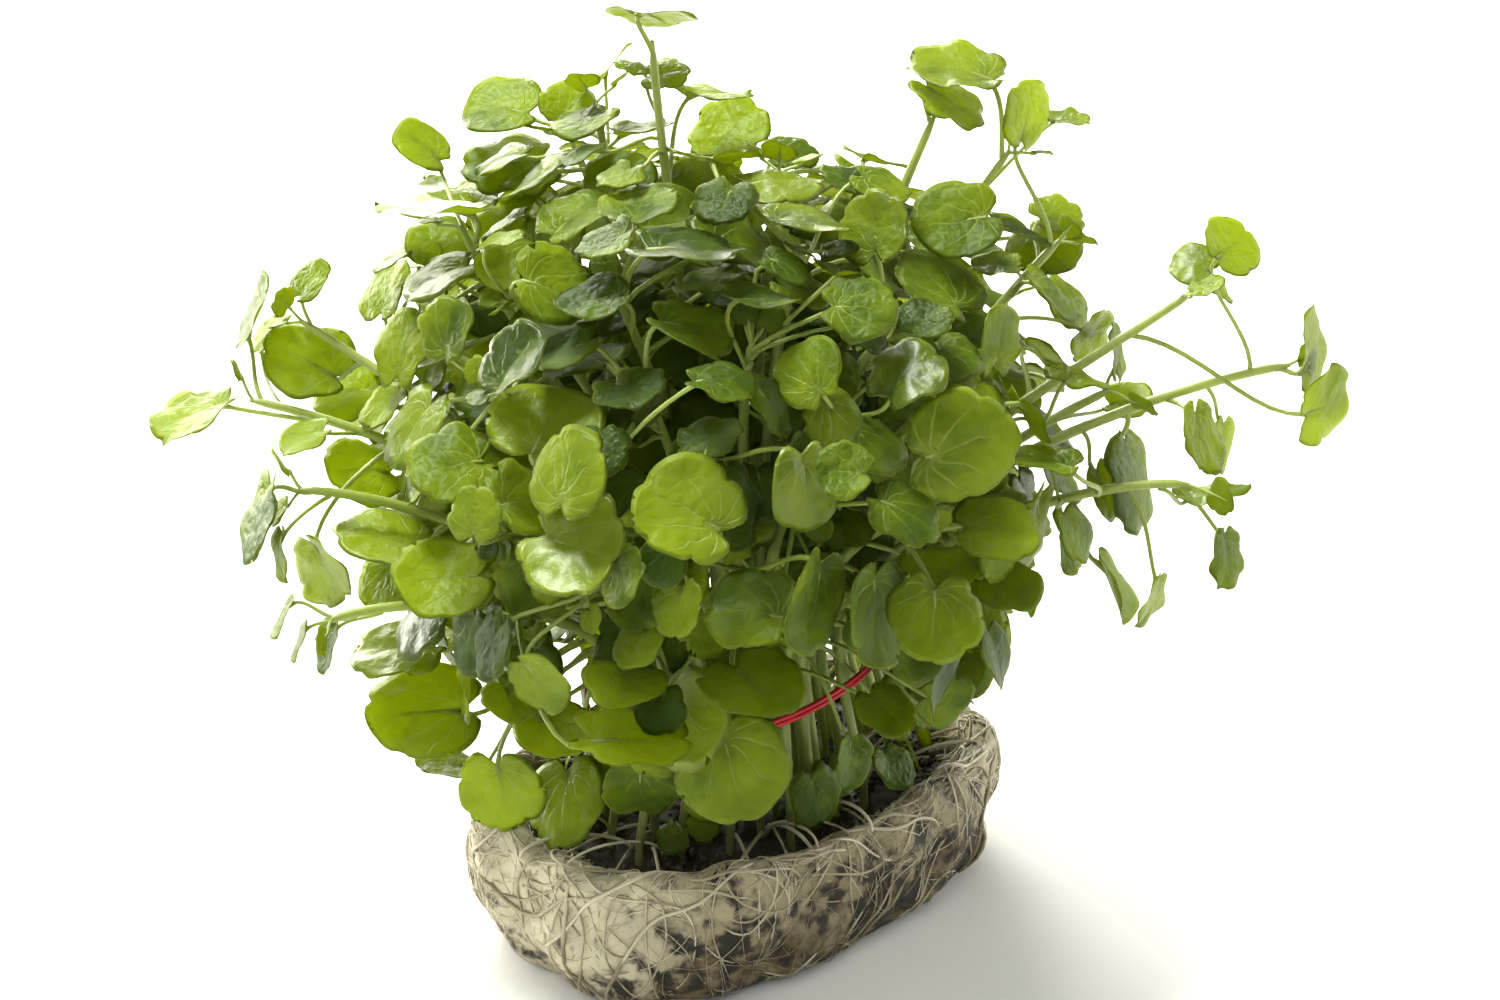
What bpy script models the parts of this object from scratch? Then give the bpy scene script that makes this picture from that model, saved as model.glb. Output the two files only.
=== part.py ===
"""A living bunch of watercress: leafy stems in their root mat, held by an elastic band.

Metres, +Z up. The origin is the middle of the root mat's flat underside and the mat's long
side runs along X. Lengths in this file are in millimetres and become metres in the meshes.
"""
import math
import random

import bmesh
import bpy
from mathutils import Matrix, Vector
from mathutils.bvhtree import BVHTree

MM = 0.001
SEED = 11
GOLDEN_ANGLE = math.pi * (3.0 - math.sqrt(5.0))

# Root mat: half sizes in plan, squareness of its oblong, and its turned profile, which is
# a share of the half size with a height, from the middle of the underside to the top
MAT_HALF_LENGTH = 57.5
MAT_HALF_WIDTH = 37.5
MAT_SQUARENESS = 2.8
MAT_SIDES = 26
MAT_PROFILE = (
    (0.0, 0.0), (0.50, 0.0), (0.80, 0.0), (0.91, 2.5), (0.98, 9.0), (1.0, 17.0),
    (0.99, 25.0), (0.955, 30.0), (0.88, 29.5), (0.80, 25.0), (0.45, 24.5), (0.0, 24.5),
)
MAT_FLOOR_RING = 2
HOLE_FLOOR = 20.6
MESH_GAP = 0.3

# Stems: where they stand, where the band draws them together and how far they fan out
STEM_COUNT = 54
STEM_RADIUS = 1.2
FOOT_SPREAD = 0.74
FOOT_BOTTOM = 21.0
FOOT_STRAIGHT = 27.0
WAIST_BOTTOM = 48.0
WAIST_TOP = 61.0
WAIST_HALF_LENGTH = 32.0
WAIST_HALF_WIDTH = 22.6
LEAN_MOST = math.radians(100)
STEM_STEPS = 3

# Elastic band
BAND_HALF_LENGTH = 34.7
BAND_HALF_WIDTH = 25.2
BAND_HEIGHT = 54.6
BAND_TILT = 0.13
BAND_RADIUS = 0.75
BAND_POINTS = 28

# Leaf dome and blades
DOME_RADIUS = 72.0
BLADE_THICKNESS = 0.7
NOTCH_REACH = 0.42
STALK_REACH = 0.24
STALK_DROP = 0.3
STALK_RADIUS = 0.62
STALK_SHORTEST = 7.0
STALK_LONGEST = 44.0
STALK_SHARES = (0.05, 0.12, 0.2, 0.28, 0.36, 0.44, 0.52, 0.6, 0.68, 0.76, 0.84, 0.92, 0.97)
CLEARANCE = 0.42
NOTCH_GAP = math.radians(15)
FRONT_DOME_SHARE = 0.94

# Leaves that a rule spreads over the rest of the dome
FILL_COUNT = 84
FILL_FACING = 0.2
LEAF_SPACING = 9.0

# The front view in which the leaves below are placed: degrees, then millimetres
FRONT_TURN = math.radians(-40)
FRONT_RISE = math.radians(25)
EYE_RANGE = 625.0
AIM = Vector((2.7, 0.2, 89.0))
RIGHT = Vector((math.cos(FRONT_TURN), math.sin(FRONT_TURN), 0.0))
TOWARD = Vector((math.sin(FRONT_TURN) * math.cos(FRONT_RISE),
                 -math.cos(FRONT_TURN) * math.cos(FRONT_RISE), math.sin(FRONT_RISE)))
UP = TOWARD.cross(RIGHT)
EYE = AIM + TOWARD * EYE_RANGE
DOME_CENTRE = AIM - RIGHT * 7.0 + UP * 7.5

# Long stems that stand out of the dome: right, up and near in the front view, and the
# heading of the tip in degrees counter-clockwise from right
LONG_STEMS = (
    (-19.6, 92.0, 18.0, 92), (-31.0, 80.0, 8.0, 95), (-38.0, 72.0, 4.0, 115),
    (-58.0, 55.0, 14.0, 105), (37.0, 77.0, 12.0, 68), (52.0, 70.0, 8.0, 55),
    (-100.0, 20.0, 12.0, 168), (-90.0, 2.0, 22.0, 178), (-90.0, 36.0, 6.0, 140),
    (-84.0, -24.0, 30.0, 200), (89.0, 42.0, 8.0, 42), (108.0, 27.0, 2.0, 8),
    (88.0, 3.0, 14.0, -8), (72.0, 22.0, 4.0, 30), (62.0, 52.0, 8.0, 50),
    (6.0, 66.0, 14.0, 80),
)

# Leaves that face the front, each as right, up, width, slant of the widest line, share of
# the face that shows (negative from underneath), heading of the tip, and depth behind the
# dome's front
FRONT_LEAVES = (
    (-3.6, -53.6, 23.5, 0, 0.98, -75, 0), (42.0, 10.6, 24.0, 60, 0.92, 15, -3),
    (-12.4, -2.4, 23.5, -20, 0.90, 152, -2), (-35.0, -9.6, 23.0, 40, 0.85, -30, -1),
    (37.0, -23.4, 20.0, -60, 0.92, -95, -3), (-64.6, -42.4, 24.0, 5, 0.80, 185, 0),
    (-24.0, -48.2, 25.5, -6, 0.48, -5, -5), (-49.6, -58.0, 18.0, -30, 0.85, -85, -3),
    (-37.0, -60.0, 19.0, 70, 0.80, -85, -9), (-36.6, 5.0, 20.0, 70, 0.75, 75, -3),
    (-40.4, 15.0, 23.5, 10, 0.75, 70, 3), (11.0, 2.6, 18.5, 80, 0.75, -80, 2),
    (0.6, -22.6, 20.0, 15, 0.80, 165, 0), (19.0, 5.6, 12.5, 0, 0.90, 175, -3),
    (31.0, -2.4, 17.0, -35, 0.65, -30, -2), (13.0, -20.0, 22.0, 75, 0.50, -100, -2),
    (24.6, -22.0, 24.0, 85, 0.50, -95, 3), (0.4, -36.6, 22.0, 0, 0.65, -70, 6),
    (-25.0, -37.6, 17.0, 0, 0.60, -90, 4), (-59.0, 7.0, 20.0, -10, 0.80, 205, 1),
    (-61.0, -16.0, 21.0, 0, 0.78, 195, 2), (-73.0, -8.0, 21.0, -10, 0.55, 175, 0),
    (-70.0, -29.6, 20.0, 15, 0.60, 185, -2), (-55.0, -3.0, 12.5, 80, 0.85, 80, -5),
    (-47.0, 27.6, 17.0, 50, 0.60, 60, 0), (-60.4, 34.0, 14.0, 75, 0.75, 80, 2),
    (-69.6, 30.4, 17.6, 70, 0.60, 85, 6), (21.6, 38.6, 16.5, -10, 0.78, 0, -2),
    (11.6, 25.6, 15.5, 60, 0.85, 125, 1), (31.2, 25.4, 17.0, 20, 0.75, 65, -1),
    (36.0, 20.0, 22.0, 30, 0.60, 45, 4), (50.0, 31.6, 16.0, 80, 0.50, 90, 0),
    (41.6, 55.6, 19.0, 0, 0.82, 200, 0), (25.0, 54.0, 16.0, 60, 0.85, 100, 3),
    (59.0, 50.6, 15.5, -10, 0.75, -60, -2), (49.6, 46.8, 11.0, 0, 0.45, 180, -2),
    (49.4, -5.6, 19.0, -15, 0.68, 5, 1), (50.6, -16.6, 15.5, -20, 0.75, -20, 2),
    (56.6, -6.0, 22.0, 72, 0.25, -105, -3), (-14.0, -21.6, 13.5, 80, 0.70, -90, 5),
    (-25.6, -15.0, 13.5, 70, 0.60, -45, -2), (-12.6, 50.2, 26.0, -6, 0.22, -6, 4),
    (11.0, 55.6, 20.0, -12, 0.22, -12, 4), (5.2, 63.8, 20.0, -2, 0.34, 0, 10),
    (-22.0, 58.4, 16.0, 10, 0.50, 90, 8), (-35.0, 56.8, 17.0, 25, 0.50, 50, 6),
    (-10.0, 62.6, 18.0, -10, 0.70, 60, 22), (20.0, 64.0, 13.0, -15, 0.40, 150, 10),
    (26.0, 63.4, 13.0, -25, 0.50, -20, 6), (-4.0, 73.4, 17.0, 20, 0.75, 65, 34),
    (8.0, 69.6, 11.5, -10, 0.60, 30, 28), (-22.0, 73.6, 14.5, 6, 0.15, 0, 14),
    (-47.6, 67.6, 20.0, 0, 0.62, 210, 2), (-49.4, 78.4, 17.6, 15, 0.62, 150, 4),
    (-36.4, 78.6, 11.6, 0, 0.85, 60, 0), (-65.4, 71.0, 13.6, -35, 0.62, 145, 4),
    (-62.6, 57.8, 25.0, 2, 0.12, 180, -14), (-58.8, 61.6, 18.0, -5, 0.42, 100, -10),
    (-50.0, 52.0, 10.5, 15, 0.25, 15, 0), (-19.6, 97.0, 18.6, -6, -0.18, -90, -18),
    (-17.0, 85.4, 10.4, 8, 0.60, 0, -14), (-23.6, 86.8, 7.5, -15, 0.35, 180, -16),
    (-27.6, 87.6, 11.5, 50, 0.12, 52, -6), (42.0, 85.8, 21.0, -8, 0.42, 170, -10),
    (39.6, 80.0, 17.0, -35, 0.50, -40, -14), (55.4, 76.8, 15.4, 80, 0.58, 90, -10),
    (63.5, 76.0, 10.0, -5, 0.30, 0, -2), (61.4, 56.6, 12.0, -20, 0.60, 30, 6),
    (-88.4, 27.6, 20.0, -20, 0.75, 150, -8), (-88.2, 43.6, 11.0, 50, 0.55, 55, -6),
    (-99.0, 37.0, 17.0, 68, 0.15, 68, -6), (-96.4, 33.0, 11.5, 55, 0.35, 60, -2),
    (-110.6, 17.0, 19.5, 28, 0.40, 208, -12), (-89.0, 12.6, 12.5, 30, 0.45, 200, -18),
    (-98.5, -3.0, 20.0, 75, 0.28, -105, -22), (-94.0, -10.6, 13.0, 95, 0.18, -90, -26),
    (-93.4, -23.0, 10.5, 65, 0.15, -110, -30), (-90.0, -28.0, 10.0, 72, 0.12, -105, -26),
    (-85.0, -13.4, 17.0, -58, 0.50, -60, -18), (-84.0, -29.0, 12.5, 80, 0.32, -100, -24),
    (64.0, -9.0, 12.5, 85, 0.40, -85, -4), (70.6, 2.0, 13.0, 105, 0.50, -80, -10),
    (77.0, 4.0, 22.0, 98, 0.40, -78, -12), (72.4, -17.0, 18.0, 110, 0.15, -72, -8),
    (80.6, -20.0, 13.5, 65, 0.22, -115, -12), (95.6, -11.4, 13.0, 90, 0.50, -90, -14),
    (90.4, 13.0, 15.5, 105, 0.50, -75, -10), (94.5, 11.0, 12.5, 80, 0.42, -90, -4),
    (92.0, 1.0, 16.0, 5, 0.25, 0, -14), (88.6, 47.2, 10.5, 10, 0.80, 150, -8),
    (96.0, 50.4, 13.5, -50, 0.70, 40, -8), (91.0, 42.4, 9.0, 20, 0.40, -10, -12),
    (112.6, 29.6, 20.5, 88, 0.22, 10, -2), (115.0, 19.0, 17.0, 65, 0.50, 0, -4),
    (75.4, 19.4, 11.0, 0, 0.70, 0, -2), (73.4, 29.6, 13.0, 95, 0.20, 90, -4),
    (49.2, -31.0, 15.5, 100, 0.30, -80, -10), (27.0, -42.0, 13.0, -20, 0.80, -60, 14),
    (39.0, -40.0, 12.5, 30, 0.75, -20, 12), (20.0, -52.0, 12.0, 80, 0.60, -90, 20),
    (-48.0, -40.0, 12.5, 0, 0.70, -80, -4), (-42.0, -36.0, 15.0, -40, 0.65, -45, -4),
    (4.0, 19.0, 14.5, -60, 0.45, -65, 7), (-12.0, 34.0, 20.0, -25, 0.45, -20, 10),
    (-31.0, 40.0, 17.0, 10, 0.45, 200, 6), (-24.0, 22.0, 15.0, 10, 0.55, -60, 14),
    (-8.0, 12.0, 14.0, 20, 0.60, 90, 10), (2.0, 40.0, 16.0, -8, 0.25, 0, 4),
    (-22.0, -28.0, 14.0, 50, 0.60, -100, 10), (68.0, 33.0, 13.0, 60, 0.45, -30, 4),
    (-22.0, -58.0, 16.0, 0, 0.70, -90, 8), (-61.0, -53.0, 12.5, -10, 0.50, 200, 4),
    (-39.0, -46.0, 17.0, 0, 0.70, -60, 6), (59.0, 7.6, 17.0, -5, 0.30, 170, -4),
    (63.0, 40.0, 14.0, -50, 0.50, -60, 2), (-73.0, 42.0, 15.0, 60, 0.50, 100, 2),
    (-62.0, 51.0, 14.0, 0, 0.80, 100, 8), (-80.0, 22.0, 16.0, 10, 0.80, 180, 4),
    (-77.0, 6.0, 17.0, -30, 0.70, 200, 6), (-26.0, 64.0, 15.0, 10, 0.80, 60, 14),
    (10.0, 42.0, 13.0, -20, 0.50, -20, 2), (-48.0, 46.0, 14.0, 0, 0.80, 90, 10),
    (35.0, 36.0, 12.0, 10, 0.70, 60, 3), (-6.0, 24.0, 15.0, -10, 0.50, 0, 12),
)


def front_point(right, up, near):
    """Point seen at right and up of the aim, near millimetres towards the eye."""
    return AIM + (RIGHT * right + UP * up) * (1.0 - near / EYE_RANGE) + TOWARD * near


def front_axes(point):
    """Right, up and toward the eye as they are seen at a point."""
    toward = (EYE - point).normalized()
    right = (RIGHT - toward * toward.dot(RIGHT)).normalized()
    return right, toward.cross(right), toward


def view_direction(right, up, degrees):
    """Direction in the front view, counter-clockwise from right."""
    angle = math.radians(degrees)
    return right * math.cos(angle) + up * math.sin(angle)


def hermite(start, start_pull, end, end_pull, share):
    """Point on a smooth curve between two points with given pulls."""
    second = share * share
    third = second * share
    return (start * (2 * third - 3 * second + 1) + start_pull * (third - 2 * second + share)
            + end * (3 * second - 2 * third) + end_pull * (third - second))


class Leaf:
    """A round blade on a stalk: its place, its facing and how its face is waved."""

    def __init__(self, centre, normal, tip, radius, rng):
        self.centre = centre
        self.normal = normal.normalized()
        self.tip = (tip - self.normal * self.normal.dot(tip)).normalized()
        self.side = self.normal.cross(self.tip)
        self.radius = radius
        self.cup = rng.uniform(-0.12, 0.10)
        self.fold = rng.uniform(0.0, 0.14)
        self.wave = rng.uniform(0.02, 0.09)
        self.phase = rng.uniform(0.0, math.tau)
        self.owner = 0
        self.stalk = None

    def surface(self, reach, turn):
        """Point of the blade at a share of its radius and an angle from its tip."""
        rise = (self.cup * reach * reach + self.fold * reach * abs(math.sin(turn))
                + self.wave * reach * reach * math.cos(2 * turn + self.phase))
        return (self.centre + self.tip * (self.radius * reach * math.cos(turn))
                + self.side * (self.radius * reach * math.sin(turn))
                + self.normal * (self.radius * rise))

    def margin(self):
        """Waved outline: a notch at the stalk, then lobes and dips in turn."""
        count = 12 if self.radius > 10.8 else 10 if self.radius > 8.2 else 8
        points = [(NOTCH_REACH, math.pi)]
        for index in range(count - 1):
            turn = math.pi + NOTCH_GAP + index * (math.tau - 2 * NOTCH_GAP) / (count - 2)
            reach = 0.88 if index in (0, count - 2) else 0.97 if index % 2 else 1.04
            points.append((reach, turn))
        return points

    def base(self):
        """Where the stalk ends, in the blade's lower face beyond its notch."""
        return self.surface(STALK_REACH, math.pi) - self.normal * STALK_DROP

    def arrival(self):
        """Direction in which the stalk runs into the blade, from below."""
        return (self.tip * 0.65 + self.normal * 0.6).normalized()

    def stalk_point(self, share):
        """Point on the stalk from its stem to the blade."""
        start, start_pull, end, end_pull = self.stalk
        return hermite(start, start_pull, end, end_pull, share)


class Stem:
    """One stem: straight in the mat, drawn in by the band, fanned out above it."""

    def __init__(self, foot, waist, tip, heading):
        self.foot = foot
        self.waist = waist
        self.tip = tip
        self.heading = heading.normalized()
        self.load = 0
        self.used = []

    def crown_point(self, share):
        """Point above the band, from the waist to the tip."""
        start = Vector((self.waist[0], self.waist[1], WAIST_TOP))
        length = (self.tip - start).length
        return hermite(start, Vector((0, 0, 0.8 * length)), self.tip,
                       self.heading * (0.8 * length), share)

    def carrier_point(self, share):
        """Point above the band on the stem's straight pieces, where a stalk can start."""
        spot = share * STEM_STEPS
        piece = min(int(spot), STEM_STEPS - 1)
        below = self.crown_point(piece / STEM_STEPS)
        above = self.crown_point((piece + 1) / STEM_STEPS)
        return below.lerp(above, spot - piece)

    def path(self, steps):
        """Points along the whole stem."""
        points = [Vector((self.foot[0], self.foot[1], FOOT_BOTTOM)),
                  Vector((self.foot[0], self.foot[1], FOOT_STRAIGHT)),
                  Vector((self.waist[0], self.waist[1], WAIST_BOTTOM))]
        points += [self.crown_point(index / steps) for index in range(steps + 1)]
        return points


class Space:
    """What is already placed, for keeping new pieces clear of it."""

    def __init__(self):
        self.items = []

    def add(self, owner, kind, shape):
        tree, centre, bound = shape
        self.items.append((owner, kind, tree, centre, bound))

    def is_clear(self, shape, ignored):
        tree, centre, bound = shape
        for owner, kind, other, other_centre, other_bound in self.items:
            if (owner, kind) in ignored or (owner, "any") in ignored:
                continue
            if (centre - other_centre).length > bound + other_bound:
                continue
            if tree.overlap(other):
                return False
        return True


def bounded(points, faces):
    """Search tree of a shape with a sphere round it."""
    centre = sum(points, Vector()) / len(points)
    bound = max((point - centre).length for point in points)
    return BVHTree.FromPolygons(points, faces), centre, bound


def tube_shape(path, radius):
    """Search tree of a round tube along a path."""
    sides = 5
    points = []
    for index, point in enumerate(path):
        ahead = path[min(index + 1, len(path) - 1)] - path[max(index - 1, 0)]
        ahead.normalize()
        across = ahead.orthogonal().normalized()
        over = ahead.cross(across)
        for side in range(sides):
            angle = math.tau * side / sides
            points.append(point + (across * math.cos(angle) + over * math.sin(angle))
                          * (radius / math.cos(math.pi / sides)))
    faces = []
    for ring in range(len(path) - 1):
        twist = closest_turn(points, ring, sides)
        for side in range(sides):
            after = (side + 1) % sides
            faces.append((ring * sides + side, ring * sides + after,
                          (ring + 1) * sides + (after + twist) % sides,
                          (ring + 1) * sides + (side + twist) % sides))
    return bounded(points, faces)


def closest_turn(points, ring, sides):
    """Turn of the next ring that joins it to this one without twisting."""
    first = points[ring * sides]
    following = [(points[(ring + 1) * sides + side] - first).length for side in range(sides)]
    return following.index(min(following))


def blade_shape(leaf, grow):
    """Search tree of a blade, grown by a clearance."""
    half = BLADE_THICKNESS / 2 + grow
    stretch = 1.0 + grow / leaf.radius
    margin = leaf.margin()
    count = len(margin)
    points = [leaf.centre + leaf.normal * half, leaf.centre - leaf.normal * half]
    for reach, turn in margin:
        rim = leaf.surface(reach * stretch, turn)
        points += [rim + leaf.normal * half, rim - leaf.normal * half]
    faces = []
    for index in range(count):
        this, after = 2 + 2 * index, 2 + 2 * ((index + 1) % count)
        faces += [(0, this, after), (1, after + 1, this + 1),
                  (this, this + 1, after + 1, after)]
    return bounded(points, faces)


def stalk_shape(leaf, grow):
    """Search tree of a stalk, from just outside its stem to its blade."""
    points = [leaf.stalk_point(share) for share in (0.15, 0.5, 0.97)]
    return tube_shape(points, STALK_RADIUS + grow)


def mat_shape():
    """Search tree of the root mat's outside."""
    rings = len(MAT_PROFILE)
    points = [mat_vertex(ring, math.tau * side / MAT_SIDES)
              for ring in range(rings) for side in range(MAT_SIDES)]
    faces = []
    for ring in range(rings - 1):
        for side in range(MAT_SIDES):
            after = (side + 1) % MAT_SIDES
            faces.append((ring * MAT_SIDES + side, ring * MAT_SIDES + after,
                          (ring + 1) * MAT_SIDES + after, (ring + 1) * MAT_SIDES + side))
    return bounded(points, faces)


def disc_spot(index, count):
    """Evenly spread spot in a unit disc, like seeds in a flower head."""
    return math.sqrt((index + 0.5) / count), index * GOLDEN_ANGLE


def place_stems(space, rng):
    """Stems from the middle outwards, the long ones led to their own tips."""
    stems = []
    for index in range(STEM_COUNT):
        reach, turn = disc_spot(index, STEM_COUNT)
        across, along = math.cos(turn), math.sin(turn)
        foot = (FOOT_SPREAD * MAT_HALF_LENGTH * reach * across,
                FOOT_SPREAD * MAT_HALF_WIDTH * reach * along)
        waist = (WAIST_HALF_LENGTH * reach * across, WAIST_HALF_WIDTH * reach * along)
        lean = LEAN_MOST * reach ** 0.9
        heading = Vector((math.sin(lean) * across, math.sin(lean) * along, math.cos(lean)))
        length = DOME_RADIUS * rng.uniform(0.66, 0.80)
        stems.append(Stem(foot, waist, DOME_CENTRE + heading * length, heading))
    free = list(stems)
    led = []
    for right, up, near, heading in LONG_STEMS:
        tip = front_point(right, up, near)
        wanted = (tip - DOME_CENTRE).normalized()
        stem = max(free, key=lambda each: each.heading.dot(wanted))
        free.remove(stem)
        stem.tip = tip
        stem.heading = (view_direction(RIGHT, UP, heading) + wanted * 0.4).normalized()
        led.append(stem)
    placed = []
    for stem in led + free:
        if settle_stem(stem, space, len(placed), rng):
            placed.append(stem)
    return placed


def settle_stem(stem, space, owner, rng):
    """Turn a stem's tip a little until the stem is clear of the others."""
    first_tip, first_heading = stem.tip.copy(), stem.heading.copy()
    for attempt in range(30):
        shape = tube_shape(stem.path(STEM_STEPS), STEM_RADIUS + CLEARANCE)
        if space.is_clear(shape, ((-1, "mat"),)):
            space.add(owner, "stem", tube_shape(stem.path(STEM_STEPS), STEM_RADIUS))
            return True
        wander = 0.02 + 0.008 * attempt
        turn = Matrix.Rotation(rng.uniform(-wander, wander) * 2, 3, "Z")
        tilt = Matrix.Rotation(rng.uniform(-wander, wander) * 2, 3, RIGHT)
        stem.tip = DOME_CENTRE + tilt @ (turn @ (first_tip - DOME_CENTRE))
        stem.heading = tilt @ (turn @ first_heading)
    return False


def stalk_choices(leaf, stems):
    """Stems and points on them that could carry a leaf, the best first."""
    base, arrival = leaf.base(), leaf.arrival()
    choices = []
    for owner, stem in enumerate(stems):
        for share in STALK_SHARES:
            if share in stem.used:
                continue
            start = stem.carrier_point(share)
            reach = base - start
            length = reach.length
            if STALK_SHORTEST < length < STALK_LONGEST:
                bend = 1.0 - reach.dot(arrival) / length
                cost = length + 16.0 * bend + 2.5 * stem.load
                choices.append((cost, owner, share, start))
    choices.sort(key=lambda choice: choice[:3])
    return choices[:40]


def hang_leaf(leaf, stems, space):
    """Give a leaf the first stalk that is clear, and note where both are."""
    if not space.is_clear(blade_shape(leaf, CLEARANCE), ()):
        return False
    base, arrival = leaf.base(), leaf.arrival()
    for _cost, owner, share, start in stalk_choices(leaf, stems):
        stem = stems[owner]
        reach = base - start
        along = (stem.crown_point(min(share + 0.02, 1.0)) - stem.crown_point(share - 0.02))
        leaving = (along.normalized() * 0.5 + reach.normalized()).normalized()
        leaf.stalk = (start, leaving * reach.length, base, arrival * (0.8 * reach.length))
        shape = stalk_shape(leaf, CLEARANCE)
        if space.is_clear(shape, ((owner, "stem"),)):
            leaf.owner = owner
            stem.load += 1
            stem.used.append(share)
            space.add(owner, "blade", blade_shape(leaf, 0.0))
            space.add(owner, "stalk", stalk_shape(leaf, 0.0))
            return True
    return False


def dome_depth(right, up):
    """How near the dome's front face stands at a place in the front view."""
    middle = DOME_CENTRE - AIM
    offset = (right - middle.dot(RIGHT)) ** 2 + (up - middle.dot(UP)) ** 2
    bulge = math.sqrt(max(0.0, DOME_RADIUS ** 2 - offset))
    return bulge * FRONT_DOME_SHARE + middle.dot(TOWARD)


def front_leaf(row, near, seed):
    """A leaf of the front list at a given depth."""
    right, up, width, slant, share, heading, _deep = row
    centre = front_point(right, up, near)
    view_right, view_up, toward = front_axes(centre)
    rise = view_direction(view_right, view_up, slant + 90)
    outward = (centre - DOME_CENTRE).normalized() + Vector((0, 0, 1))
    if rise.dot(outward) < 0:
        rise = -rise
    normal = toward * share + rise * math.sqrt(1.0 - share * share)
    tip = view_direction(view_right, view_up, heading)
    radius = width / 2.06 * (1.0 - near / EYE_RANGE)
    return Leaf(centre, normal, tip, radius, random.Random(seed))


def place_front_leaves(stems, space):
    """The leaves of the front list, each moved in depth until it is clear."""
    leaves = []
    for number, row in enumerate(FRONT_LEAVES):
        depth = dome_depth(row[0], row[1]) - row[6]
        for shift in (0, -3, 3, -6, 6, -9, 9, -13, 13, -17, -21, -26):
            leaf = front_leaf(row, depth + shift, SEED * 1000 + number)
            if hang_leaf(leaf, stems, space):
                leaves.append(leaf)
                break
    return leaves


def place_fill_leaves(stems, space, leaves, rng):
    """Leaves spread by rule over the rest of the dome and inside its front."""
    filled = []
    for number in range(FILL_COUNT):
        height = 1.0 - 1.55 * (number + 0.5) / FILL_COUNT
        turn = number * GOLDEN_ANGLE
        flat = math.sqrt(max(0.0, 1.0 - height * height))
        outward = Vector((flat * math.cos(turn), flat * math.sin(turn), height))
        facing = outward.dot(TOWARD)
        depth = rng.uniform(0.86, 1.02)
        jitter = Vector((rng.uniform(-1, 1), rng.uniform(-1, 1), rng.uniform(-1, 1)))
        radius = rng.uniform(7.6, 11.2)
        centre = DOME_CENTRE + outward * (DOME_RADIUS * depth)
        normal = outward * 0.75 + Vector((0, 0, 0.55)) + jitter * 0.3
        tip = outward + Vector((0, 0, -0.5)) + jitter * 0.6
        seed = rng.random()
        if facing > FILL_FACING:
            continue
        for shift in (0.0, -5.0, 5.0, -10.0):
            leaf = Leaf(centre + outward * shift, normal, tip, radius, random.Random(seed))
            near_one = min(((leaf.centre - other.centre).length for other in leaves + filled),
                           default=99.0)
            if near_one > LEAF_SPACING and hang_leaf(leaf, stems, space):
                filled.append(leaf)
                break
    return filled


def layout():
    """Where every stem and leaf of the bunch is."""
    rng = random.Random(SEED)
    space = Space()
    band_path = [band_point(index) for index in range(BAND_POINTS)]
    space.add(-1, "band", tube_shape(band_path + band_path[:2], BAND_RADIUS))
    space.add(-1, "mat", mat_shape())
    stems = place_stems(space, rng)
    leaves = place_front_leaves(stems, space)
    leaves += place_fill_leaves(stems, space, leaves, rng)
    return stems, leaves


def band_point(index):
    """Point of the elastic band's middle line."""
    angle = math.tau * index / BAND_POINTS
    across = BAND_HALF_LENGTH * math.cos(angle)
    along = BAND_HALF_WIDTH * math.sin(angle)
    return Vector((across, along, BAND_HEIGHT + BAND_TILT * across))


def clear_scene():
    """Remove what a new scene holds."""
    for thing in list(bpy.data.objects):
        bpy.data.objects.remove(thing, do_unlink=True)


def material(name, colour, roughness):
    """Plain Principled material."""
    made = bpy.data.materials.new(name)
    made.use_nodes = True
    shader = made.node_tree.nodes["Principled BSDF"]
    shader.inputs["Base Color"].default_value = (*colour, 1.0)
    shader.inputs["Roughness"].default_value = roughness
    shader.inputs["Metallic"].default_value = 0.0
    return made


def add_object(name, mesh, collection):
    """Link a mesh as an object."""
    thing = bpy.data.objects.new(name, mesh)
    collection.objects.link(thing)
    return thing


def tube_object(name, path, radius, resolution, cyclic, collection):
    """Round tube along a path, made with a curve and turned into a mesh."""
    curve = bpy.data.curves.new(name + "_line", "CURVE")
    curve.dimensions = "3D"
    curve.bevel_depth = radius * MM
    curve.bevel_resolution = resolution
    curve.use_fill_caps = not cyclic
    spline = curve.splines.new("POLY")
    spline.points.add(len(path) - 1)
    for point, spot in zip(spline.points, path):
        point.co = (*(spot * MM), 1.0)
    spline.use_cyclic_u = cyclic
    line = add_object(name + "_line", curve, collection)
    depsgraph = bpy.context.evaluated_depsgraph_get()
    mesh = bpy.data.meshes.new_from_object(line.evaluated_get(depsgraph))
    bpy.data.objects.remove(line, do_unlink=True)
    welder = bmesh.new()
    welder.from_mesh(mesh)
    bmesh.ops.remove_doubles(welder, verts=welder.verts, dist=0.000001)
    bmesh.ops.recalc_face_normals(welder, faces=welder.faces)
    welder.to_mesh(mesh)
    welder.free()
    return add_object(name, mesh, collection)


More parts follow.
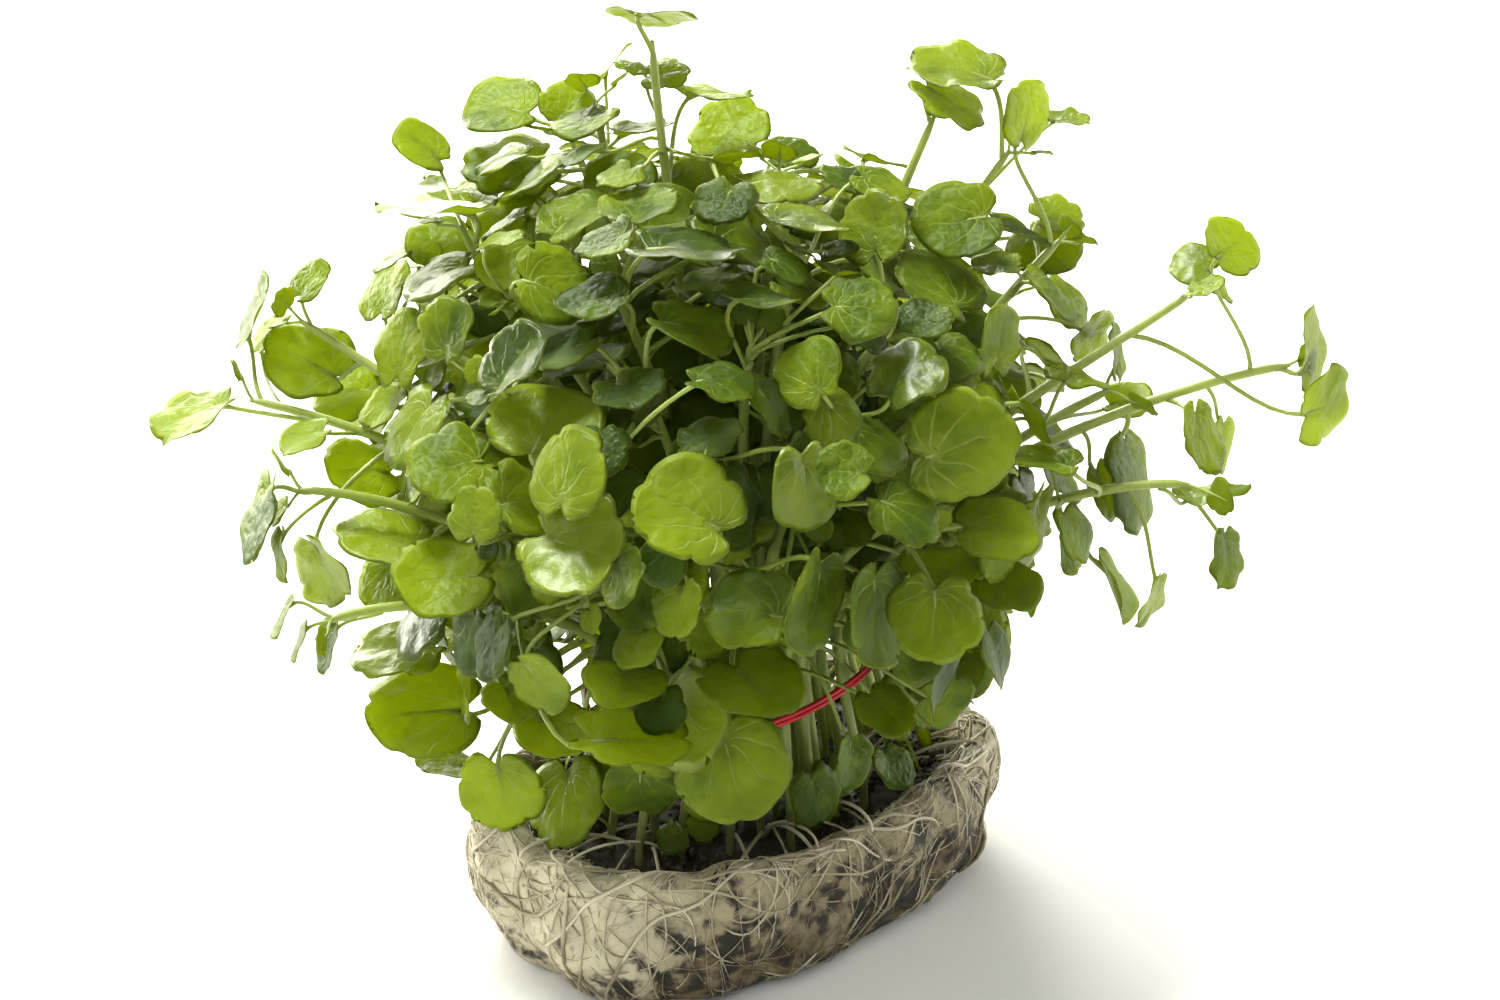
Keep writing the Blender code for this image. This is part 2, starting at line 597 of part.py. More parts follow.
def blade_object(name, leaf, collection):
    """One blade: a fan with a waved, notched margin, given its thickness."""
    margin = leaf.margin()
    count = len(margin)
    fan = bmesh.new()
    bmesh.ops.create_circle(fan, cap_ends=True, cap_tris=True, segments=count, radius=1.0)
    lower = leaf.normal * (-BLADE_THICKNESS / 2)
    for vert in fan.verts:
        if vert.co.length < 0.5:
            vert.co = (leaf.centre + lower) * MM
        else:
            step = round(math.atan2(-vert.co.x, vert.co.y) / math.tau * count) % count
            vert.co = (leaf.surface(*margin[step]) + lower) * MM
    grown = bmesh.ops.extrude_face_region(fan, geom=list(fan.faces))
    raised = [part for part in grown["geom"] if isinstance(part, bmesh.types.BMVert)]
    bmesh.ops.translate(fan, verts=raised, vec=leaf.normal * (BLADE_THICKNESS * MM))
    bmesh.ops.recalc_face_normals(fan, faces=fan.faces)
    mesh = bpy.data.meshes.new(name)
    fan.to_mesh(mesh)
    fan.free()
    return add_object(name, mesh, collection)


def fuse(thing, pieces, solver):
    """Join an object with every piece in a collection, then remove the pieces."""
    joiner = thing.modifiers.new("Fuse", "BOOLEAN")
    joiner.operation = "UNION"
    joiner.operand_type = "COLLECTION"
    joiner.collection = pieces
    joiner.solver = solver
    bake(thing)
    for piece in list(pieces.objects):
        bpy.data.objects.remove(piece, do_unlink=True)


def bake(thing):
    """Apply an object's modifiers."""
    depsgraph = bpy.context.evaluated_depsgraph_get()
    mesh = bpy.data.meshes.new_from_object(thing.evaluated_get(depsgraph))
    thing.modifiers.clear()
    thing.data = mesh


def make_stem(number, stem, leaves, group, pieces):
    """One leafy stem: the stem with its stalks and blades, fused."""
    name = f"leafy_stem_{number + 1:02d}"
    thing = tube_object(name, stem.path(STEM_STEPS), STEM_RADIUS, 0, False, group)
    for index, leaf in enumerate(leaves):
        stalk = [leaf.stalk_point(share) for share in (0.0, 0.5, 1.0)]
        tube_object(f"stalk_{index}", stalk, STALK_RADIUS, 0, False, pieces)
        blade_object(f"blade_{index}", leaf, pieces)
    if leaves:
        fuse(thing, pieces, "EXACT")
    shade = 0.75 + 0.5 * ((number * 0.618) % 1.0)
    thing.data.materials.clear()
    thing.data.materials.append(material(name, (0.10 * shade, 0.22 * shade, 0.03), 0.45))
    return thing


def mat_vertex(ring, angle):
    """Vertex of the root mat on a ring of its profile."""
    share, height = MAT_PROFILE[ring]
    lump = 0.0
    if ring > MAT_FLOOR_RING:
        lump = (0.012 * math.sin(3 * angle + 0.7) + 0.010 * math.sin(8 * angle + 0.9 * ring)
                + 0.008 * math.sin(13 * angle + 1.7 * ring))
        height += 0.8 * math.sin(5 * angle + 0.8) * (1.0 if share > 0.82 else 0.3)
    cosine, sine = math.cos(angle), math.sin(angle)
    power = MAT_SQUARENESS
    reach = (abs(cosine) ** power + abs(sine) ** power) ** (-1.0 / power)
    reach *= share * (1.0 + lump)
    return Vector((MAT_HALF_LENGTH * reach * cosine, MAT_HALF_WIDTH * reach * sine, height))


def make_root_mat(stems, group, cutters):
    """The root mat, with a plain hole for each stem."""
    rings = len(MAT_PROFILE) - 1
    ball = bmesh.new()
    bmesh.ops.create_uvsphere(ball, u_segments=MAT_SIDES, v_segments=rings, radius=1.0)
    for vert in ball.verts:
        ring = round((math.pi - math.acos(max(-1.0, min(1.0, vert.co.z)))) / math.pi * rings)
        vert.co = mat_vertex(ring, math.atan2(vert.co.y, vert.co.x)) * MM
    mesh = bpy.data.meshes.new("root_mat")
    ball.to_mesh(mesh)
    ball.free()
    mat = add_object("root_mat", mesh, group)
    for number, stem in enumerate(stems):
        hole_bottom = Vector((stem.foot[0], stem.foot[1], HOLE_FLOOR))
        hole_top = Vector((stem.foot[0], stem.foot[1], FOOT_STRAIGHT + 4.0))
        hole_radius = (STEM_RADIUS + MESH_GAP) * math.sqrt(1.5)
        hole = tube_object(f"hole_{number}", [hole_bottom, hole_top], hole_radius, 0, False,
                           cutters)
        hole.hide_render = True
        hole.display_type = "WIRE"
    cut = mat.modifiers.new("Stem holes", "BOOLEAN")
    cut.operation = "DIFFERENCE"
    cut.operand_type = "COLLECTION"
    cut.collection = cutters
    cut.solver = "EXACT"
    bake(mat)
    for hole in list(cutters.objects):
        bpy.data.objects.remove(hole, do_unlink=True)
    mat.data.materials.clear()
    mat.data.materials.append(material("root_mat", (0.42, 0.37, 0.26), 0.85))
    return mat


def make_band(group):
    """The elastic band, a closed oval ring."""
    path = [band_point(index) for index in range(BAND_POINTS)]
    band = tube_object("elastic_band", path, BAND_RADIUS, 1, True, group)
    band.data.materials.append(material("elastic_band", (0.55, 0.02, 0.04), 0.4))
    return band


def main():
    """Build the bunch."""
    clear_scene()
    group = bpy.data.collections.new("watercress_bunch")
    cutters = bpy.data.collections.new("cutters")
    pieces = bpy.data.collections.new("pieces")
    for collection in (group, cutters, pieces):
        bpy.context.scene.collection.children.link(collection)
    stems, leaves = layout()
    make_root_mat(stems, group, cutters)
    make_band(group)
    for number, stem in enumerate(stems):
        own = [leaf for leaf in leaves if leaf.owner == number]
        make_stem(number, stem, own, group, pieces)
    bpy.data.collections.remove(pieces)
    print(f"{len(stems)} stems, {len(leaves)} leaves")


main()
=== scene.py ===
# Watercress bunch, its looks. Lengths are in millimetres until a mesh is made.
import math
import random

import bpy
from mathutils import Matrix, Vector, noise
from mathutils.bvhtree import BVHTree


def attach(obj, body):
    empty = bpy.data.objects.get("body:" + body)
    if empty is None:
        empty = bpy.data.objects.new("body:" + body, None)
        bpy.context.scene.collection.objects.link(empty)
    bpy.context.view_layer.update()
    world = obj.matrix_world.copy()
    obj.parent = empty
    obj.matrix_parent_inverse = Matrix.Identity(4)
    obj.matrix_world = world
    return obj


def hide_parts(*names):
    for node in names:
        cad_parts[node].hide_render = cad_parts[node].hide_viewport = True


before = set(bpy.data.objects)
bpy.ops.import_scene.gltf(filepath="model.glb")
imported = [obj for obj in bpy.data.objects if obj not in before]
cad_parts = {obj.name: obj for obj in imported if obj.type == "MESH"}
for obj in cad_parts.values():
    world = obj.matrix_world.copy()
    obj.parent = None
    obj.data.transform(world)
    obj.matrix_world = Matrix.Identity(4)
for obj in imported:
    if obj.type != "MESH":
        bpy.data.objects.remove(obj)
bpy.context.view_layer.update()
mm = 0.001
seed = 11
goldenAngle = math.pi * (3.0 - math.sqrt(5.0))
print("frame loaded")


# View, light and floor

view = {
    "turn": -40, "rise": 25, "range": 625.0, "aim": (2.7, 0.2, 89.0), "lens": 75.0,
    "sensor": 36.0, "nearest": 0.01, "furthest": 20.0,
}

frontTurn = math.radians(view["turn"])
frontRise = math.radians(view["rise"])
aim = Vector(view["aim"])
right = Vector((math.cos(frontTurn), math.sin(frontTurn), 0.0))
toward = Vector((math.sin(frontTurn) * math.cos(frontRise),
                 -math.cos(frontTurn) * math.cos(frontRise), math.sin(frontRise)))
up = toward.cross(right)
eye = aim + toward * view["range"]

studio = {
    "floorSize": 24.0,
    "floorColour": (0.90, 0.90, 0.89),
    "floorMottle": 0.97,
    "worldColour": (1.0, 0.99, 0.96),
    "worldStrength": 0.34,
    # name: right, up and towards the eye in metres, size, watts, colour
    "lights": {
        "backWindow": (-0.80, 1.25, -1.70, 1.8, 166.0, (1.0, 0.97, 0.88)),
        "leftWindow": (-1.40, 0.35, -0.95, 0.8, 62.0, (1.0, 0.97, 0.86)),
        "rightWindow": (1.30, 0.35, -0.55, 1.2, 22.0, (1.0, 1.0, 0.94)),
        "topLight": (-0.55, 1.75, 0.35, 0.7, 76.0, (1.0, 1.0, 0.94)),
        "frontFill": (-0.60, 0.60, 1.90, 1.2, 11.0, (1.0, 1.0, 0.96)),
    },
}


def addObject(name, data):
    thing = bpy.data.objects.new(name, data)
    bpy.context.scene.collection.objects.link(thing)
    return thing


def addMesh(name, points, edges, faces):
    mesh = bpy.data.meshes.new(name)
    mesh.from_pydata(points, edges, faces)
    return mesh


def addLayer(mesh, label, kind, values):
    layer = mesh.attributes.new(label, kind, "POINT")
    layer.data.foreach_set("vector" if kind == "FLOAT_VECTOR" else "value", values)


def clamp(value, low=0.0, high=1.0):
    return max(low, min(high, value))


def turnTowards(thing, direction):
    thing.rotation_euler = direction.to_track_quat("-Z", "Y").to_euler()


def makeCamera():
    lens = bpy.data.cameras.new("camera")
    lens.lens = view["lens"]
    lens.sensor_width = view["sensor"]
    lens.clip_start = view["nearest"]
    lens.clip_end = view["furthest"]
    camera = addObject("camera", lens)
    camera.location = eye * mm
    turnTowards(camera, -toward)
    bpy.context.scene.camera = camera


def makeLights():
    for name, (across, over, near, size, power, colour) in studio["lights"].items():
        lamp = bpy.data.lights.new(name, "AREA")
        lamp.shape = "DISK"
        lamp.size = size
        lamp.energy = power
        lamp.color = colour
        stand = addObject(name, lamp)
        offset = right * across + up * over + toward * near
        stand.location = aim * mm + offset
        turnTowards(stand, -offset)
    world = bpy.data.worlds.new("studio")
    world.use_nodes = True
    sky = world.node_tree.nodes["Background"]
    sky.inputs["Color"].default_value = (*studio["worldColour"], 1.0)
    sky.inputs["Strength"].default_value = studio["worldStrength"]
    bpy.context.scene.world = world


# Node trees as expressions

def operator(operation, turned=False):
    # an operator of a wire, which adds one maths node
    def work(wire, other):
        return wire.sheet.maths(operation, *((other, wire) if turned else (wire, other)))
    return work


class Wire:
    # a node's output that takes part in sums
    def __init__(self, sheet, socket):
        self.sheet = sheet
        self.socket = socket

    __add__, __radd__ = operator("ADD"), operator("ADD", True)
    __sub__, __rsub__ = operator("SUBTRACT"), operator("SUBTRACT", True)
    __mul__, __rmul__ = operator("MULTIPLY"), operator("MULTIPLY", True)
    __truediv__ = operator("DIVIDE")
    __pow__ = operator("POWER")


class Sheet:
    # one node tree, shader or geometry
    def __init__(self, tree):
        self.tree = tree

    def add(self, kind, settings=None, inputs=None, output=0):
        node = self.tree.nodes.new(kind)
        for name, value in (settings or {}).items():
            setattr(node, name, value)
        for name, value in (inputs or {}).items():
            for one in value if isinstance(value, list) else [value]:
                if isinstance(one, Wire):
                    self.tree.links.new(one.socket, node.inputs[name])
                else:
                    node.inputs[name].default_value = one
        return None if output is None else Wire(self, node.outputs[output])

    def maths(self, operation, *values):
        return self.add("ShaderNodeMath", {"operation": operation}, dict(enumerate(values)))

    def vector(self, operation, *values):
        return self.add("ShaderNodeVectorMath", {"operation": operation}, dict(enumerate(values)))

    def scaled(self, vector, factor):
        return self.add("ShaderNodeVectorMath", {"operation": "SCALE"},
                        {"Vector": vector, "Scale": factor})

    def join(self, x, y, z):
        return self.add("ShaderNodeCombineXYZ", {}, {"X": x, "Y": y, "Z": z})

    def parts(self, vector):
        made = self.add("ShaderNodeSeparateXYZ", {}, {"Vector": vector})
        return [Wire(self, each) for each in made.socket.node.outputs]

    def fade(self, value, low, high):
        return self.add("ShaderNodeMapRange", {"interpolation_type": "SMOOTHSTEP"},
                        {"Value": value, "From Min": low, "From Max": high})

    def blend(self, factor, first, second):
        return self.add("ShaderNodeMix", {"data_type": "RGBA"}, {0: factor, 6: first, 7: second}, 2)

    def noise(self, place, scale, detail=2.0, roughness=0.5, distortion=0.0):
        return self.add("ShaderNodeTexNoise", {}, {
            "Vector": place, "Scale": scale, "Detail": detail, "Roughness": roughness,
            "Distortion": distortion}, "Fac")

    def attribute(self, name):
        return self.add("ShaderNodeAttribute", {"attribute_name": name}, {}, "Fac")

    def named(self, label, kind="FLOAT"):
        return self.add("GeometryNodeInputNamedAttribute", {"data_type": kind}, {"Name": label})

    def bump(self, strength, distance, height):
        return self.add("ShaderNodeBump", {}, {
            "Strength": strength, "Distance": distance, "Height": height}, "Normal")

    def show(self, gloss, glow=None, share=0.0):
        # the finish: a plain surface, with light that comes through where a glow is given
        shader = self.add("ShaderNodeBsdfPrincipled", {}, gloss)
        if glow:
            through = self.add("ShaderNodeBsdfTranslucent", {}, {"Color": glow})
            shader = self.add("ShaderNodeMixShader", {}, {0: share, 1: shader, 2: through})
        self.add("ShaderNodeOutputMaterial", {}, {"Surface": shader}, None)


def newMaterial(name):
    # an empty material, its node tree, and the object's coordinates in it
    made = bpy.data.materials.new(name)
    made.use_nodes = True
    made.node_tree.nodes.clear()
    sheet = Sheet(made.node_tree)
    return made, sheet, sheet.add("ShaderNodeTexCoord", {}, {}, "Object")


def rgb(red, green, blue):
    return (red, green, blue, 1.0)


# Where every stem and leaf is, by the same rules as the solids

mat = {
    "halfLength": 57.5, "halfWidth": 37.5, "squareness": 2.8, "sides": 26, "floorRing": 2,
    "profile": ((0.0, 0.0), (0.50, 0.0), (0.80, 0.0), (0.91, 2.5), (0.98, 9.0), (1.0, 17.0),
                (0.99, 25.0), (0.955, 30.0), (0.88, 29.5), (0.80, 25.0), (0.45, 24.5),
                (0.0, 24.5)),
}
stems = {
    "count": 54, "radius": 1.2, "footSpread": 0.74, "footBottom": 21.0, "footStraight": 27.0,
    "waistBottom": 48.0, "waistTop": 61.0, "waistHalfLength": 32.0, "waistHalfWidth": 22.6,
    "leanMost": math.radians(100), "steps": 3, "lengths": (0.66, 0.80), "attempts": 30,
}
band = {
    "halfLength": 34.7, "halfWidth": 25.2, "height": 54.6, "tilt": 0.13, "radius": 0.75,
    "points": 28,
}
dome = {"radius": 72.0, "centre": aim - right * 7.0 + up * 7.5, "frontShare": 0.94}
blade = {
    "thickness": 0.7, "notchReach": 0.42, "notchGap": math.radians(15), "stalkReach": 0.24,
    "stalkDrop": 0.3, "stalkRadius": 0.62, "stalkShortest": 7.0, "stalkLongest": 44.0,
    "clearance": 0.42, "choices": 40, "bendCost": 16.0, "loadCost": 2.5,
    # least radius and points of a margin, and how far out its points are
    "margins": ((10.8, 12), (8.2, 10), (0.0, 8)), "marginReaches": (0.88, 0.97, 1.04),
    # places along a stem where a stalk may start
    "shares": (0.05, 0.12, 0.2, 0.28, 0.36, 0.44, 0.52, 0.6, 0.68, 0.76, 0.84, 0.92, 0.97),
}
fill = {
    "count": 84, "drop": 1.55, "facing": 0.2, "spacing": 9.0, "depths": (0.86, 1.02),
    "radii": (7.6, 11.2), "shifts": (0.0, -5.0, 5.0, -10.0),
    # shares of outward, up and any way in a leaf's facing, and in its tip's heading
    "leans": ((0.75, 0.55, 0.3), (1.0, -0.5, 0.6)),
}

# moves towards the eye that are tried for each leaf in front
frontShifts = (0, -3, 3, -6, 6, -9, 9, -13, 13, -17, -21, -26)

# long stems: right, up and near in the front view, and the heading of the tip in degrees
longStems = (
    (-19.6, 92.0, 18.0, 92), (-31.0, 80.0, 8.0, 95), (-38.0, 72.0, 4.0, 115),
    (-58.0, 55.0, 14.0, 105), (37.0, 77.0, 12.0, 68), (52.0, 70.0, 8.0, 55),
    (-100.0, 20.0, 12.0, 168), (-90.0, 2.0, 22.0, 178), (-90.0, 36.0, 6.0, 140),
    (-84.0, -24.0, 30.0, 200), (89.0, 42.0, 8.0, 42), (108.0, 27.0, 2.0, 8),
    (88.0, 3.0, 14.0, -8), (72.0, 22.0, 4.0, 30), (62.0, 52.0, 8.0, 50),
    (6.0, 66.0, 14.0, 80),
)

# leaves that face the front: right, up, width, slant of the widest line, share of the face
# that shows (negative from underneath), heading of the tip, depth behind the dome's front
frontLeaves = (
    (-3.6, -53.6, 23.5, 0, 0.98, -75, 0), (42.0, 10.6, 24.0, 60, 0.92, 15, -3),
    (-12.4, -2.4, 23.5, -20, 0.90, 152, -2), (-35.0, -9.6, 23.0, 40, 0.85, -30, -1),
    (37.0, -23.4, 20.0, -60, 0.92, -95, -3), (-64.6, -42.4, 24.0, 5, 0.80, 185, 0),
    (-24.0, -48.2, 25.5, -6, 0.48, -5, -5), (-49.6, -58.0, 18.0, -30, 0.85, -85, -3),
    (-37.0, -60.0, 19.0, 70, 0.80, -85, -9), (-36.6, 5.0, 20.0, 70, 0.75, 75, -3),
    (-40.4, 15.0, 23.5, 10, 0.75, 70, 3), (11.0, 2.6, 18.5, 80, 0.75, -80, 2),
    (0.6, -22.6, 20.0, 15, 0.80, 165, 0), (19.0, 5.6, 12.5, 0, 0.90, 175, -3),
    (31.0, -2.4, 17.0, -35, 0.65, -30, -2), (13.0, -20.0, 22.0, 75, 0.50, -100, -2),
    (24.6, -22.0, 24.0, 85, 0.50, -95, 3), (0.4, -36.6, 22.0, 0, 0.65, -70, 6),
    (-25.0, -37.6, 17.0, 0, 0.60, -90, 4), (-59.0, 7.0, 20.0, -10, 0.80, 205, 1),
    (-61.0, -16.0, 21.0, 0, 0.78, 195, 2), (-73.0, -8.0, 21.0, -10, 0.55, 175, 0),
    (-70.0, -29.6, 20.0, 15, 0.60, 185, -2), (-55.0, -3.0, 12.5, 80, 0.85, 80, -5),
    (-47.0, 27.6, 17.0, 50, 0.60, 60, 0), (-60.4, 34.0, 14.0, 75, 0.75, 80, 2),
    (-69.6, 30.4, 17.6, 70, 0.60, 85, 6), (21.6, 38.6, 16.5, -10, 0.78, 0, -2),
    (11.6, 25.6, 15.5, 60, 0.85, 125, 1), (31.2, 25.4, 17.0, 20, 0.75, 65, -1),
    (36.0, 20.0, 22.0, 30, 0.60, 45, 4), (50.0, 31.6, 16.0, 80, 0.50, 90, 0),
    (41.6, 55.6, 19.0, 0, 0.82, 200, 0), (25.0, 54.0, 16.0, 60, 0.85, 100, 3),
    (59.0, 50.6, 15.5, -10, 0.75, -60, -2), (49.6, 46.8, 11.0, 0, 0.45, 180, -2),
    (49.4, -5.6, 19.0, -15, 0.68, 5, 1), (50.6, -16.6, 15.5, -20, 0.75, -20, 2),
    (56.6, -6.0, 22.0, 72, 0.25, -105, -3), (-14.0, -21.6, 13.5, 80, 0.70, -90, 5),
    (-25.6, -15.0, 13.5, 70, 0.60, -45, -2), (-12.6, 50.2, 26.0, -6, 0.22, -6, 4),
    (11.0, 55.6, 20.0, -12, 0.22, -12, 4), (5.2, 63.8, 20.0, -2, 0.34, 0, 10),
    (-22.0, 58.4, 16.0, 10, 0.50, 90, 8), (-35.0, 56.8, 17.0, 25, 0.50, 50, 6),
    (-10.0, 62.6, 18.0, -10, 0.70, 60, 22), (20.0, 64.0, 13.0, -15, 0.40, 150, 10),
    (26.0, 63.4, 13.0, -25, 0.50, -20, 6), (-4.0, 73.4, 17.0, 20, 0.75, 65, 34),
    (8.0, 69.6, 11.5, -10, 0.60, 30, 28), (-22.0, 73.6, 14.5, 6, 0.15, 0, 14),
    (-47.6, 67.6, 20.0, 0, 0.62, 210, 2), (-49.4, 78.4, 17.6, 15, 0.62, 150, 4),
    (-36.4, 78.6, 11.6, 0, 0.85, 60, 0), (-65.4, 71.0, 13.6, -35, 0.62, 145, 4),
    (-62.6, 57.8, 25.0, 2, 0.12, 180, -14), (-58.8, 61.6, 18.0, -5, 0.42, 100, -10),
    (-50.0, 52.0, 10.5, 15, 0.25, 15, 0), (-19.6, 97.0, 18.6, -6, -0.18, -90, -18),
    (-17.0, 85.4, 10.4, 8, 0.60, 0, -14), (-23.6, 86.8, 7.5, -15, 0.35, 180, -16),
    (-27.6, 87.6, 11.5, 50, 0.12, 52, -6), (42.0, 85.8, 21.0, -8, 0.42, 170, -10),
    (39.6, 80.0, 17.0, -35, 0.50, -40, -14), (55.4, 76.8, 15.4, 80, 0.58, 90, -10),
    (63.5, 76.0, 10.0, -5, 0.30, 0, -2), (61.4, 56.6, 12.0, -20, 0.60, 30, 6),
    (-88.4, 27.6, 20.0, -20, 0.75, 150, -8), (-88.2, 43.6, 11.0, 50, 0.55, 55, -6),
    (-99.0, 37.0, 17.0, 68, 0.15, 68, -6), (-96.4, 33.0, 11.5, 55, 0.35, 60, -2),
    (-110.6, 17.0, 19.5, 28, 0.40, 208, -12), (-89.0, 12.6, 12.5, 30, 0.45, 200, -18),
    (-98.5, -3.0, 20.0, 75, 0.28, -105, -22), (-94.0, -10.6, 13.0, 95, 0.18, -90, -26),
    (-93.4, -23.0, 10.5, 65, 0.15, -110, -30), (-90.0, -28.0, 10.0, 72, 0.12, -105, -26),
    (-85.0, -13.4, 17.0, -58, 0.50, -60, -18), (-84.0, -29.0, 12.5, 80, 0.32, -100, -24),
    (64.0, -9.0, 12.5, 85, 0.40, -85, -4), (70.6, 2.0, 13.0, 105, 0.50, -80, -10),
    (77.0, 4.0, 22.0, 98, 0.40, -78, -12), (72.4, -17.0, 18.0, 110, 0.15, -72, -8),
    (80.6, -20.0, 13.5, 65, 0.22, -115, -12), (95.6, -11.4, 13.0, 90, 0.50, -90, -14),
    (90.4, 13.0, 15.5, 105, 0.50, -75, -10), (94.5, 11.0, 12.5, 80, 0.42, -90, -4),
    (92.0, 1.0, 16.0, 5, 0.25, 0, -14), (88.6, 47.2, 10.5, 10, 0.80, 150, -8),
    (96.0, 50.4, 13.5, -50, 0.70, 40, -8), (91.0, 42.4, 9.0, 20, 0.40, -10, -12),
    (112.6, 29.6, 20.5, 88, 0.22, 10, -2), (115.0, 19.0, 17.0, 65, 0.50, 0, -4),
    (75.4, 19.4, 11.0, 0, 0.70, 0, -2), (73.4, 29.6, 13.0, 95, 0.20, 90, -4),
    (49.2, -31.0, 15.5, 100, 0.30, -80, -10), (27.0, -42.0, 13.0, -20, 0.80, -60, 14),
    (39.0, -40.0, 12.5, 30, 0.75, -20, 12), (20.0, -52.0, 12.0, 80, 0.60, -90, 20),
    (-48.0, -40.0, 12.5, 0, 0.70, -80, -4), (-42.0, -36.0, 15.0, -40, 0.65, -45, -4),
    (4.0, 19.0, 14.5, -60, 0.45, -65, 7), (-12.0, 34.0, 20.0, -25, 0.45, -20, 10),
    (-31.0, 40.0, 17.0, 10, 0.45, 200, 6), (-24.0, 22.0, 15.0, 10, 0.55, -60, 14),
    (-8.0, 12.0, 14.0, 20, 0.60, 90, 10), (2.0, 40.0, 16.0, -8, 0.25, 0, 4),
    (-22.0, -28.0, 14.0, 50, 0.60, -100, 10), (68.0, 33.0, 13.0, 60, 0.45, -30, 4),
    (-22.0, -58.0, 16.0, 0, 0.70, -90, 8), (-61.0, -53.0, 12.5, -10, 0.50, 200, 4),
    (-39.0, -46.0, 17.0, 0, 0.70, -60, 6), (59.0, 7.6, 17.0, -5, 0.30, 170, -4),
    (63.0, 40.0, 14.0, -50, 0.50, -60, 2), (-73.0, 42.0, 15.0, 60, 0.50, 100, 2),
    (-62.0, 51.0, 14.0, 0, 0.80, 100, 8), (-80.0, 22.0, 16.0, 10, 0.80, 180, 4),
    (-77.0, 6.0, 17.0, -30, 0.70, 200, 6), (-26.0, 64.0, 15.0, 10, 0.80, 60, 14),
    (10.0, 42.0, 13.0, -20, 0.50, -20, 2), (-48.0, 46.0, 14.0, 0, 0.80, 90, 10),
    (35.0, 36.0, 12.0, 10, 0.70, 60, 3), (-6.0, 24.0, 15.0, -10, 0.50, 0, 12),
)


def frontPoint(across, over, near):
    return aim + (right * across + up * over) * (1.0 - near / view["range"]) + toward * near


def frontPlace(point):
    # right, up and near as the front view shows the point
    offset = point - aim
    near = offset.dot(toward)
    scale = 1.0 - near / view["range"]
    return offset.dot(right) / scale, offset.dot(up) / scale, near


def frontAxes(point):
    ahead = (eye - point).normalized()
    across = (right - ahead * ahead.dot(right)).normalized()
    return across, ahead.cross(across), ahead


def anyWay(rng):
    return Vector((rng.uniform(-1, 1), rng.uniform(-1, 1), rng.uniform(-1, 1)))


def mixedWay(outward, jitter, shares):
    # a direction made of shares of outward, up and any way
    out, rise, loose = shares
    return outward * out + Vector((0, 0, rise)) + jitter * loose


def spiralWay(number, count, drop, phase=0.0):
    # one of the directions spread evenly from the top down, over a drop in height
    height = 1.0 - drop * (number + 0.5) / count
    turn = number * goldenAngle + phase
    flat = math.sqrt(max(0.0, 1.0 - height * height))
    return Vector((flat * math.cos(turn), flat * math.sin(turn), height))


def viewDirection(across, over, degrees):
    angle = math.radians(degrees)
    return across * math.cos(angle) + over * math.sin(angle)


def hermite(start, startPull, end, endPull, share):
    second = share * share
    third = second * share
    return (start * (2 * third - 3 * second + 1) + startPull * (third - 2 * second + share)
            + end * (3 * second - 2 * third) + endPull * (third - second))


class Leaf:
    # a round blade on a stalk: its place, its facing and how its face is waved
    def __init__(self, centre, normal, tip, radius, rng):
        self.centre = centre
        self.normal = normal.normalized()
        self.tip = (tip - self.normal * self.normal.dot(tip)).normalized()
        self.side = self.normal.cross(self.tip)
        self.radius = radius
        self.cup = rng.uniform(-0.12, 0.10)
        self.fold = rng.uniform(0.0, 0.14)
        self.wave = rng.uniform(0.02, 0.09)
        self.phase = rng.uniform(0.0, math.tau)
        self.owner = 0
        self.stalk = None
        self.fine = False

    def surface(self, reach, turn):
        rise = (self.cup * reach * reach + self.fold * reach * abs(math.sin(turn))
                + self.wave * reach * reach * math.cos(2 * turn + self.phase))
        return (self.centre + self.tip * (self.radius * reach * math.cos(turn))
                + self.side * (self.radius * reach * math.sin(turn))
                + self.normal * (self.radius * rise))

    def margin(self):
        count = next(count for least, count in blade["margins"] if self.radius > least)
        notched, between, furthest = blade["marginReaches"]
        points = [(blade["notchReach"], math.pi)]
        gap = blade["notchGap"]
        for index in range(count - 1):
            turn = math.pi + gap + index * (math.tau - 2 * gap) / (count - 2)
            reach = notched if index in (0, count - 2) else between if index % 2 else furthest
            points.append((reach, turn))
        return points

    def base(self):
        return self.surface(blade["stalkReach"], math.pi) - self.normal * blade["stalkDrop"]

    def arrival(self):
        return (self.tip * 0.65 + self.normal * 0.6).normalized()

    def stalkPoint(self, share):
        start, startPull, end, endPull = self.stalk
        return hermite(start, startPull, end, endPull, share)


class Stem:
    # straight in the mat, drawn in by the band, fanned out above it
    def __init__(self, foot, waist, tip, heading):
        self.foot = foot
        self.waist = waist
        self.tip = tip
        self.heading = heading.normalized()
        self.load = 0
        self.used = []

    def crownPoint(self, share):
        start = Vector((*self.waist, stems["waistTop"]))
        length = (self.tip - start).length
        return hermite(start, Vector((0, 0, 0.8 * length)), self.tip,
                       self.heading * (0.8 * length), share)

    def carrierPoint(self, share):
        spot = share * stems["steps"]
        piece = min(int(spot), stems["steps"] - 1)
        below = self.crownPoint(piece / stems["steps"])
        above = self.crownPoint((piece + 1) / stems["steps"])
        return below.lerp(above, spot - piece)

    def path(self, steps):
        points = [Vector((*self.foot, stems["footBottom"])),
                  Vector((*self.foot, stems["footStraight"])),
                  Vector((*self.waist, stems["waistBottom"]))]
        points += [self.crownPoint(index / steps) for index in range(steps + 1)]
        return points


